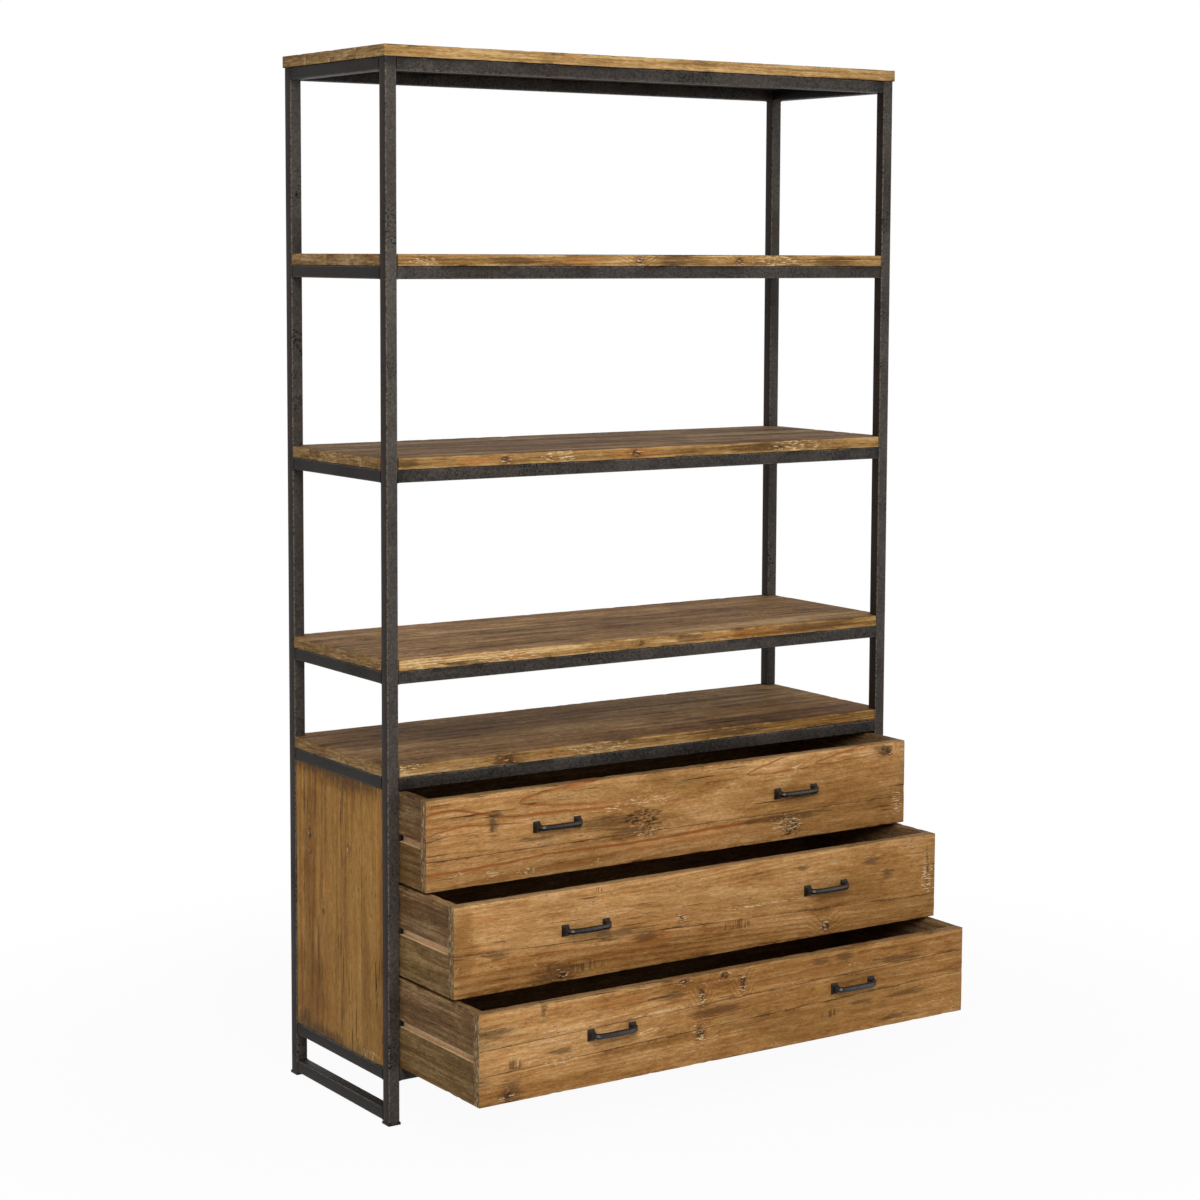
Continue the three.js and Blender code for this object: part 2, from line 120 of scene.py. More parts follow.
# Marks in the wood, from the middle of the board: along the grain, across it, half length, half width.
# A ring is half its width and the points it passes; an arch is described at arch_lines.
MARKS = {
    "drawer_1_front": {
        "knots": ((0.578, 0.07, 0.008, 0.006),),
        "bursts": (
            (-0.09, -0.006, 0.036, 0.019), (0.295, -0.069, 0.022, 0.015), (0.565, 0.076, 0.014, 0.006),
        ),
        "stains": (
            (-0.465, 0.031, 0.014, 0.026), (-0.359, -0.014, 0.045, 0.006), (-0.19, 0.0, 0.08, 0.013),
            (-0.137, -0.024, 0.045, 0.01), (0.276, -0.042, 0.11, 0.009), (0.559, 0.076, 0.024, 0.015),
        ),
        "shades": (
            (0.42, -0.03, 0.3, 0.11), (-0.1, -0.01, 0.14, 0.04), (0.05, 0.06, 0.16, 0.03),
        ),
        "flecks": (
            (-0.175, 0.027, 0.055, 0.007), (-0.077, -0.033, 0.05, 0.007), (-0.09, 0.036, 0.09, 0.012),
            (-0.469, -0.074, 0.026, 0.011), (-0.385, -0.077, 0.032, 0.009), (-0.548, -0.065, 0.032, 0.006),
            (0.316, 0.063, 0.022, 0.013), (0.602, -0.05, 0.02, 0.038), (0.285, -0.058, 0.055, 0.022),
        ),
        "hatches": ((-0.465, 0.031, 0.012, 0.02),),
        "ambers": ((0.02, -0.06, 0.2, 0.012), (-0.28, 0.085, 0.05, 0.006)),
        "rings": (
            (0.0042, (
                (-0.625, -0.058), (-0.513, -0.057), (-0.304, -0.049), (-0.108, -0.051), (0.107, -0.044),
                (0.3, -0.05),
            )),
            (0.004, (
                (-0.625, 0.061), (-0.587, 0.068), (-0.552, 0.068), (-0.522, 0.061), (-0.447, 0.043),
                (-0.304, 0.036), (-0.1, 0.03),
            )),
            (0.0024, ((-0.615, 0.021), (-0.537, 0.033), (-0.477, 0.029), (-0.35, 0.02))),
            (0.0018, ((-0.616, 0.009), (-0.547, 0.017), (-0.45, 0.012))),
        ),
        "arches": (
            (-0.403, 0.069, 1, 0.0, 0.16, 0.025), (0.181, 0.063, 1, 0.12, 0.1, 0.016),
            (0.366, 0.067, 1, 0.1, 0.12, 0.013),
        ),
    },
    "drawer_2_front": {
        "knots": (
            (0.313, -0.076, 0.012, 0.011), (-0.371, -0.081, 0.013, 0.008), (-0.072, -0.002, 0.008, 0.006),
        ),
        "stains": (
            (0.439, 0.054, 0.022, 0.011), (0.486, 0.019, 0.02, 0.009), (0.246, 0.062, 0.022, 0.006),
            (-0.523, -0.017, 0.032, 0.007), (-0.38, -0.072, 0.06, 0.016), (-0.24, -0.012, 0.06, 0.012),
            (-0.165, -0.026, 0.036, 0.016),
        ),
        "shades": (
            (0.48, -0.02, 0.26, 0.12), (-0.2, -0.07, 0.42, 0.045), (-0.6, 0.0, 0.03, 0.09),
        ),
        "flecks": (
            (-0.072, -0.002, 0.02, 0.008), (0.6, 0.005, 0.018, 0.055), (-0.433, -0.05, 0.006, 0.008),
            (0.313, -0.07, 0.022, 0.02), (0.15, -0.003, 0.11, 0.004),
        ),
        "hatches": (
            (0.071, -0.039, 0.045, 0.013), (-0.305, -0.069, 0.055, 0.011), (-0.279, 0.084, 0.01, 0.01),
            (0.6, 0.02, 0.005, 0.07),
        ),
        "ambers": (
            (-0.15, 0.0, 0.1, 0.012), (-0.56, 0.06, 0.05, 0.008), (-0.15, -0.028, 0.06, 0.022),
        ),
    },
    "drawer_3_front": {
        "knots": (
            (-0.088, 0.052, 0.009, 0.016), (-0.091, -0.028, 0.012, 0.015), (-0.132, 0.087, 0.012, 0.007),
            (0.017, 0.059, 0.008, 0.017), (-0.03, 0.084, 0.01, 0.01), (-0.56, -0.078, 0.012, 0.01),
        ),
        "stains": (
            (-0.548, -0.07, 0.03, 0.028), (-0.159, 0.061, 0.03, 0.008), (-0.474, 0.085, 0.007, 0.016),
            (-0.594, 0.051, 0.048, 0.012), (-0.431, -0.01, 0.03, 0.008), (-0.045, 0.013, 0.065, 0.014),
            (0.221, 0.076, 0.024, 0.008), (0.286, 0.08, 0.022, 0.009), (0.426, 0.052, 0.07, 0.007),
            (0.336, -0.03, 0.034, 0.006), (0.457, -0.028, 0.055, 0.007), (0.429, -0.075, 0.04, 0.006),
        ),
        "shades": (
            (0.25, 0.0, 0.48, 0.15), (-0.45, -0.085, 0.3, 0.03), (0.05, 0.08, 0.35, 0.025),
        ),
        "flecks": (
            (-0.088, 0.045, 0.012, 0.02), (-0.091, -0.035, 0.014, 0.02), (-0.435, -0.028, 0.055, 0.008),
            (-0.225, -0.005, 0.05, 0.008), (-0.2, 0.03, 0.1, 0.005),
        ),
        "hatches": ((-0.54, -0.02, 0.022, 0.014), (0.251, -0.043, 0.03, 0.01)),
        "ambers": ((-0.045, 0.013, 0.07, 0.012), (-0.3, 0.07, 0.09, 0.012)),
    },
    "side_panel": {
        "knots": ((0.14, 0.127, 0.012, 0.007), (0.142, -0.047, 0.006, 0.006), (-0.017, 0.068, 0.007, 0.005)),
        "stains": (
            (0.287, -0.05, 0.02, 0.15), (-0.276, 0.152, 0.026, 0.032), (0.227, -0.017, 0.05, 0.006),
            (-0.282, 0.06, 0.014, 0.09), (-0.114, 0.09, 0.06, 0.005), (0.288, 0.12, 0.012, 0.07),
        ),
        "shades": (
            (0.28, 0.0, 0.03, 0.2), (-0.2, 0.12, 0.12, 0.08), (0.0, -0.19, 0.29, 0.014),
            (0.0, 0.125, 0.32, 0.028),
        ),
        "flecks": ((0.142, -0.1, 0.006, 0.006), (-0.28, -0.14, 0.014, 0.05)),
        "ambers": ((0.13, -0.18, 0.25, 0.01), (-0.1, 0.05, 0.3, 0.01)),
    },
    "shelf_2_board": {
        "knots": ((-0.037, -0.219, 0.013, 0.01), (0.227, -0.219, 0.01, 0.008)),
        "stains": (
            (-0.35, -0.217, 0.06, 0.01), (0.06, -0.217, 0.07, 0.012), (0.48, -0.217, 0.06, 0.012),
        ),
        "flecks": ((-0.56, -0.217, 0.04, 0.02), (0.33, -0.217, 0.08, 0.018)),
        "ambers": ((-0.18, -0.217, 0.06, 0.012),),
    },
    "shelf_3_board": {
        "knots": ((-0.368, -0.219, 0.013, 0.01), (-0.043, -0.219, 0.014, 0.011)),
        "stains": ((-0.6, -0.217, 0.03, 0.02), (0.3, -0.217, 0.09, 0.01)),
        "flecks": ((-0.24, -0.217, 0.06, 0.016), (0.4, -0.217, 0.1, 0.018)),
        "ambers": ((-0.44, -0.217, 0.06, 0.01), (-0.043, -0.217, 0.08, 0.014)),
    },
    "shelf_4_board": {
        "knots": ((-0.03, -0.219, 0.009, 0.007),),
        "stains": ((0.445, -0.217, 0.11, 0.012), (0.1, -0.217, 0.04, 0.01)),
        "shades": ((0.48, -0.217, 0.28, 0.03),),
        "flecks": ((-0.56, -0.217, 0.06, 0.024), (-0.371, -0.217, 0.11, 0.018)),
        "ambers": ((0.33, -0.217, 0.22, 0.014), (-0.35, -0.217, 0.05, 0.01)),
    },
    "shelf_5_board": {
        "knots": ((-0.361, -0.219, 0.014, 0.011),),
        "stains": ((-0.385, -0.217, 0.014, 0.014), (0.24, -0.217, 0.09, 0.012)),
        "shades": ((0.44, -0.217, 0.34, 0.04), (0.4, -0.1, 0.3, 0.12)),
        "flecks": (
            (-0.612, -0.217, 0.05, 0.024), (-0.134, -0.217, 0.11, 0.016), (-0.2, -0.1, 0.22, 0.016),
            (-0.48, 0.04, 0.12, 0.01), (0.2, -0.02, 0.16, 0.01), (0.42, -0.12, 0.12, 0.012),
        ),
        "ambers": ((-0.25, -0.217, 0.06, 0.014),),
    },
}

# Lengths in the wood: how far marks waver, how rings and arches fade, and how far soil and wear reach
FAR = 99.0
WAVER = (0.016, 0.007, 0.007)
RING_SPAN = 0.2
RING_END = 0.08
ARCH_OUTSIDE = (-0.0020, 0.0006)
ARCH_INSIDE = 0.0018
ARCH_FADE = 0.015
END_SOIL = 0.040
END_CHIPS = 0.03
SEAM_LINE = 0.0008
SEAM_SPREAD = 0.0016
PALE_ARRIS = (0.0050, 0.0012)
DARK_ARRIS = (0.0065, 0.0020)
RELIEF = 0.0008

# Lengths in the steel: the scorched end of a tube, and the half lengths that tell the tubes apart
SCORCHED_END = (0.05, 0.004)
POST_TO_RAIL = (1.0, 0.8)
FRONT_TO_SIDE_RAIL = (0.40, 0.20)

# Handles
HANDLE_SPAN = 0.100
HANDLE_REACH = 0.027
BAR_RADIUS = 0.0061
MERGE_GAP = 0.00001
FOOT_RINGS = (
    (0.0, 0.0085, 0.012), (0.0010, 0.0085, 0.012), (0.0040, 0.0074, 0.0094), (0.0080, 0.0062, 0.0070),
    (0.0125, 0.0058, 0.0058),
)
BAR_LINE_SHARES = (
    (-1.0, 0.40), (-0.965, 0.66), (-0.84, 0.87), (-0.62, 0.95), (-0.3, 0.99), (0.0, 1.0),
    (0.3, 0.99), (0.62, 0.95), (0.84, 0.87), (0.965, 0.66), (1.0, 0.40),
)
BAR_SWELL_SHARES = (0.85, 0.95, 1.08, 1.0, 1.02, 1.06, 1.02, 1.0, 1.08, 0.95, 0.85)
FOOT_ARRIS = 0.0004
HANDLE_WEAR = 0.0007
HANDLE_WEAR_SIZE = 0.006

# Soft boxes: where each stands, the point it faces, its size and its power in watts
SOFT_BOXES = {
    "key": ((-1.6, -3.4, 2.9), (0, 0, 1.0), 2.0, 118),
    "fill": ((3.6, -3.8, 2.4), (0, 0, 1.0), 2.6, 42),
    "side": ((-4.4, 0.4, 2.6), (0, 0, 0.9), 2.2, 14),
}
ROOM_LEVEL = 0.30
FLOOR_SIZE = 30
NEAR_WHITE = 0.95
SHADOW_REACH = (0.9, 2.2)

random.seed(7)


# Modelling by hand

def deselect():
    """Object mode with nothing selected."""
    if bpy.context.mode != "OBJECT":
        bpy.ops.object.mode_set(mode="OBJECT")
    bpy.ops.object.select_all(action="DESELECT")


def add_block(name, low, high):
    """A cube shaped to lie between two corners, with its place in its mesh."""
    deselect()
    centre = [(a + b) / 2 for a, b in zip(low, high)]
    size = [b - a for a, b in zip(low, high)]
    bpy.ops.mesh.primitive_cube_add(size=1, location=centre, scale=size)
    piece = bpy.context.active_object
    piece.name = name
    bpy.ops.object.transform_apply(location=True, rotation=True, scale=True)
    return piece


def pick_edges(piece, axis=None):
    """In edit mode, selects every edge, or only those that run along one axis."""
    bpy.context.view_layer.objects.active = piece
    bpy.ops.object.mode_set(mode="EDIT")
    bpy.ops.mesh.select_mode(type="EDGE")
    bpy.ops.mesh.select_all(action="DESELECT")
    mesh = bmesh.from_edit_mesh(piece.data)
    for edge in mesh.edges:
        run = (edge.verts[1].co - edge.verts[0].co).normalized()
        edge.select = axis is None or abs(run[axis]) > 0.999
    mesh.select_flush_mode()
    bmesh.update_edit_mesh(piece.data)


def bevel(piece, width, steps, axis=None):
    pick_edges(piece, axis)
    bpy.ops.mesh.bevel(offset=width, segments=steps, profile=0.5, affect="EDGES")
    bpy.ops.object.mode_set(mode="OBJECT")


def cut_across(piece, axis, cuts):
    """Cuts the faces that run along an axis into many, so that their edges can be worn."""
    pick_edges(piece, axis)
    bpy.ops.mesh.subdivide(number_cuts=cuts)
    bpy.ops.object.mode_set(mode="OBJECT")


def join(name, pieces):
    """Joins finished pieces into one object."""
    deselect()
    for piece in pieces:
        piece.select_set(True)
    bpy.context.view_layer.objects.active = pieces[0]
    if len(pieces) > 1:
        bpy.ops.object.join()
    pieces[0].name = name
    pieces[0].data.name = name
    return pieces[0]


def apply_all(piece):
    deselect()
    piece.select_set(True)
    bpy.context.view_layer.objects.active = piece
    for modifier in list(piece.modifiers):
        bpy.ops.object.modifier_apply(modifier=modifier.name)


def wear(piece, depth, size, group=""):
    """Pushes the surface in and out a little, in patches of one size."""
    name = f"patches_{size}"
    patches = bpy.data.textures.get(name) or bpy.data.textures.new(name, "CLOUDS")
    patches.noise_scale = size
    uneven = piece.modifiers.new("uneven", "DISPLACE")
    uneven.texture = patches
    uneven.texture_coords = "LOCAL"
    uneven.strength = depth
    uneven.mid_level = 0.5
    uneven.vertex_group = group
    apply_all(piece)


def smooth(piece, degrees=SMOOTH_BELOW):
    deselect()
    piece.select_set(True)
    bpy.context.view_layer.objects.active = piece
    bpy.ops.object.shade_smooth_by_angle(angle=math.radians(degrees))


def points_of(piece):
    points = np.empty(len(piece.data.vertices) * 3, np.float32)
    piece.data.vertices.foreach_get("co", points)
    return points.reshape(-1, 3)


def move_points(piece, points):
    piece.data.vertices.foreach_set("co", points.astype(np.float32).ravel())
    piece.data.update()


def set_vectors(piece, name, values):
    attribute = piece.data.attributes.new(name, "FLOAT_VECTOR", "POINT")
    attribute.data.foreach_set("vector", np.asarray(values, np.float32).ravel())


def mark_grain(piece, low, high, axes):
    """Stores what the wood is drawn from: each point's place in its plank, half its size, and a shift."""
    points = points_of(piece)
    low, high = np.array(low), np.array(high)
    half = (high - low) / 2
    place = np.clip((points - (low + high) / 2) / half, -1, 1)
    shift = [round(random.uniform(0, SHIFT_RANGE), 3) for _ in range(3)]
    set_vectors(piece, "place", place[:, axes])
    set_vectors(piece, "half", np.tile(half[list(axes)], (len(points), 1)))
    set_vectors(piece, "shift", np.tile(shift, (len(points), 1)))


def mark_board(piece, low, high, axes):
    """Stores each point's way from the middle of its board, along the grain, across it and through."""
    middle = (np.array(low) + np.array(high)) / 2
    set_vectors(piece, "board", (points_of(piece) - middle)[:, axes])


def plank(name, low, high, axes):
    """One plank between two corners, with rounded arrises, cut fine enough to be worn."""
    piece = add_block(name, low, high)
    bevel(piece, ARRIS, ARRIS_STEPS)
    for axis, spacing in ((axes[0], CUT_ALONG), (axes[1], CUT_ACROSS)):
        cut_across(piece, axis, max(2, round((high[axis] - low[axis]) / spacing)))
    return piece


def chip(board, low, high, axes):
    """Breaks small chips out of the arrises along the board and across its ends."""
    points = points_of(board)
    through = axes[2]
    for run, other in (axes[:2], axes[1::-1]):
        for side in (-1, 1):
            for face in (-1, 1):
                corner = high[other] if side > 0 else low[other]
                corner_through = high[through] if face > 0 else low[through]
                gap = np.maximum(abs(points[:, other] - corner), abs(points[:, through] - corner_through))
                arris = gap < CHIP_REACH
                for _ in range(round((high[run] - low[run]) / CHIP_EVERY)):
                    at = random.uniform(low[run], high[run])
                    length = random.uniform(*CHIP_LENGTH)
                    depth = random.uniform(*CHIP_DEPTH)
                    share = np.clip(1 - ((points[:, run] - at) / length) ** 2, 0, 1) * arris
                    points[:, other] -= side * depth * share
                    points[:, through] -= face * depth * share * CHIP_THROUGH_SHARE
    points = points.clip(np.array(low) - WEAR, np.array(high) + WEAR)
    move_points(board, points)


def skew(strip, low, high, axes, start, end):
    """Moves a plank's two seams to the shares that they have at each end of the board."""
    points = points_of(strip)
    along, across = axes[:2]
    run = (points[:, along] - low[along]) / (high[along] - low[along])
    width = high[across] - low[across]
    rows = [low[across] + width * (first + (last - first) * run) for first, last in (start, end)]
    means = [low[across] + width * sum(pair) / 2 for pair in (start, end)]
    share = (points[:, across] - means[0]) / (means[1] - means[0])
    points[:, across] = rows[0] + (rows[1] - rows[0]) * share
    move_points(strip, points)


def planks(name, low, high, axes, shares, material, blocks=()):
    """A board between two corners, glued up across its grain from planks, with blocks cut out of it."""
    across = axes[1]
    width = high[across] - low[across]
    pairs = [share if isinstance(share, tuple) else (share, share) for share in shares]
    strips = []
    for start, end in zip(pairs, pairs[1:]):
        strip_low, strip_high = list(low), list(high)
        strip_low[across] = low[across] + sum(start) / 2 * width
        strip_high[across] = low[across] + sum(end) / 2 * width
        strip = plank(name, strip_low, strip_high, axes)
        for block_low, block_high in blocks:
            if block_low[across] < strip_high[across] and block_high[across] > strip_low[across]:
                cut_away(strip, block_low, block_high)
        mark_grain(strip, strip_low, strip_high, axes)
        skew(strip, low, high, axes, start, end)
        strips.append(strip)
    board = join(name, strips)
    board.vertex_groups.new(name="free")
    outer = points_of(board)[:, across]
    place = np.empty(len(outer) * 3, np.float32)
    board.data.attributes["place"].data.foreach_get("vector", place)
    seam = abs(place.reshape(-1, 3)[:, 1]) > SEAM_SHARE
    rim = np.minimum(outer - low[across], high[across] - outer) < CHIP_REACH
    free = np.nonzero(~seam | rim)[0].tolist()
    board.vertex_groups["free"].add(free, 1.0, "REPLACE")
    wear(board, WEAR, WEAR_SIZE, "free")
    board.vertex_groups.clear()
    chip(board, low, high, axes)
    mark_board(board, low, high, axes)
    smooth(board)
    board.data.materials.append(material)
    return board


def cut_away(piece, low, high):
    """Cuts a block-shaped piece out of a piece."""
    cutter = add_block("cutter", low, high)
    cut = piece.modifiers.new("cut", "BOOLEAN")
    cut.operation = "DIFFERENCE"
    cut.solver = "EXACT"
    cut.object = cutter
    apply_all(piece)
    bpy.data.objects.remove(cutter)


# Node trees

class Tree:
    """A material's nodes, with a short method for each kind that is used."""

    def __init__(self, name):
        self.material = bpy.data.materials.new(name)
        self.material.use_nodes = True
        self.nodes = self.material.node_tree.nodes
        self.links = self.material.node_tree.links
        self.shader = self.nodes["Principled BSDF"]

    def put(self, socket, value):
        if isinstance(value, bpy.types.NodeSocket):
            self.links.new(value, socket)
        else:
            socket.default_value = value

    def node(self, kind, *values, **settings):
        made = self.nodes.new("ShaderNode" + kind)
        for key, value in settings.items():
            setattr(made, key, value)
        for socket, value in zip(made.inputs, values):
            if value is not None:
                self.put(socket, value)
        return made

    def vector(self, name):
        return self.node("Attribute", attribute_name=name).outputs["Vector"]

    def math(self, operation, a, b=0.0, c=0.0):
        return self.node("Math", a, b, c, operation=operation).outputs[0]

    def add(self, a, b):
        return self.math("ADD", a, b)

    def times(self, a, b):
        return self.math("MULTIPLY", a, b)

    def less(self, a, b):
        return self.math("SUBTRACT", a, b)

    def most(self, a, b):
        return self.math("MAXIMUM", a, b)

    def sum(self, total, *others):
        for other in others:
            total = self.add(total, other)
        return total

    def swing(self, value, weight):
        """Turns a pattern from 0 to 1 into one that swings about 0."""
        return self.times(self.add(value, -0.5), weight)

    def clip(self, a):
        return self.node("Clamp", a).outputs[0]

    def step(self, value, start, end):
        """0 before start, 1 after end, and smooth between them; start may be above end."""
        low, high = (start, end) if start < end else (end, start)
        ramp = self.node("MapRange", value, low, high, interpolation_type="SMOOTHSTEP")
        if start < end:
            return ramp.outputs[0]
        return self.less(1.0, ramp.outputs[0])

    def parts(self, vector):
        return self.node("SeparateXYZ", vector).outputs

    def scaled(self, vector, scale):
        return self.node("VectorMath", vector, scale, operation="MULTIPLY").outputs[0]

    def noise(self, vector, scale, detail=2.0, roughness=0.5, shown="Fac"):
        made = self.node("TexNoise", normalize=True)
        values = {"Vector": vector, "Scale": scale, "Detail": detail, "Roughness": roughness}
        for key, value in values.items():
            self.put(made.inputs[key], value)
        return made.outputs[shown]

    def mix(self, amount, a, b, blend="MIX"):
        made = self.node("Mix", data_type="RGBA", blend_type=blend, clamp_factor=True)
        self.put(made.inputs[0], amount)
        self.put(made.inputs[6], a)
        self.put(made.inputs[7], b)
        return made.outputs[2]

    def ramp(self, value, stops):
        made = self.node("ValToRGB", value)
        elements = made.color_ramp.elements
        while len(elements) < len(stops):
            elements.new(0.5)
        for element, (position, colour) in zip(elements, stops):
            element.position = position
            element.color = colour
        return made.outputs["Color"]

    def bump(self, height, distance, strength):
        made = self.node("Bump")
        self.put(made.inputs["Height"], height)
        self.put(made.inputs["Distance"], distance)
        self.put(made.inputs["Strength"], strength)
        return made.outputs["Normal"]


def srgb(red, green, blue):
    """A colour as it looks on a screen, from 0 to 255, as the shader wants it."""
    def linear(value):
        value /= 255
        return value / 12.92 if value <= 0.04045 else ((value + 0.055) / 1.055) ** 2.4
    return (linear(red), linear(green), linear(blue), 1.0)


# Colours of the planks' faces, from dark to pale
HONEY = (srgb(104, 68, 32), srgb(153, 108, 60), srgb(185, 139, 85), srgb(223, 182, 131))
HONEY_PANEL = (srgb(95, 63, 23), srgb(144, 100, 45), srgb(172, 126, 61), srgb(199, 157, 91))
EDGE = (srgb(84, 58, 30), srgb(134, 100, 55), srgb(168, 131, 80), srgb(220, 186, 133))
PATINA = (srgb(53, 37, 26), srgb(102, 76, 52), srgb(135, 104, 71), srgb(188, 156, 116))
PATINA_WARM = (srgb(67, 46, 31), srgb(130, 97, 62), srgb(165, 126, 83), srgb(214, 177, 128))
RIM = (srgb(78, 56, 36), srgb(118, 90, 58), srgb(152, 122, 84), srgb(204, 172, 128))
OLD_BROWN = (srgb(43, 31, 20), srgb(87, 65, 41), srgb(119, 91, 60), srgb(172, 141, 102))
# Fresh wood in the drawer grooves, paler still as painted light in the shaded recess
FRESH_WITH_PAINTED_LIGHT = (srgb(146, 114, 80), srgb(196, 162, 122), srgb(224, 192, 150), srgb(244, 220, 186))
WARM_BOARDS = ("shelf_4_board", "shelf_5_board")

# Colours of the marks in the wood
SOIL = srgb(66, 46, 26)
FRESH_SOIL = srgb(104, 76, 50)
LOWER_TINT = srgb(243, 245, 226)
GREEN_TINT = srgb(168, 158, 104)
SHADE_TINT = srgb(206, 194, 164)
AMBER = srgb(170, 102, 42)
RED_RING = srgb(146, 80, 34)
KNOT_RIM = srgb(104, 56, 22)
KNOT_HEART = srgb(44, 27, 15)
BURST_BROWN = srgb(96, 58, 30)
BURST_DARK = srgb(40, 26, 17)
BURST_PALE = srgb(204, 168, 122)
CRACK_DARK = srgb(44, 30, 19)
SEAM_DARK = srgb(46, 32, 21)
CHIP_PALE = srgb(222, 192, 148)
SPECK_DARK = srgb(62, 42, 26)
RUBBED = srgb(190, 146, 94)
GRIMY = srgb(58, 40, 26)
# Painted shade for the underside of a shelf
UNDERSIDE_SHADE = srgb(24, 18, 13)
END_PALE = srgb(150, 118, 76)
END_BROWN = srgb(108, 80, 50)
END_DARK = srgb(54, 38, 25)
END_TORN = srgb(212, 186, 146)

# Colours of the metals: each dark, light and brown, the brown for rust and for the painted shade on the sides
STEEL_COLOURS = (srgb(22, 19, 16), srgb(87, 80, 74), srgb(46, 29, 14))
RUNNER_COLOURS = (srgb(18, 17, 16), srgb(40, 37, 34), srgb(36, 28, 22))
IRON_COLOURS = (srgb(7, 5, 4), srgb(34, 26, 20), srgb(26, 17, 11))
# Pale steel for the painted highlight along the corners
HIGHLIGHT_STEEL = srgb(132, 126, 117)
PIT_BLACK = (0.004, 0.004, 0.004, 1)
# Nearly black for a side rail's sides, as painted shade, and for its rust patches
RAIL_BLACK = (0.006, 0.0055, 0.005, 1)
# For the scorch at a tube's end and the darker patches along a rail's upper part
NEAR_BLACK = (0.008, 0.007, 0.006, 1)

# How finely the grain is drawn along, across and through the shelves and the panels
ACROSS_SHELF = (0.7, 0.30, 1.0)
ACROSS_PANEL = (0.8, 0.6, 1.0)


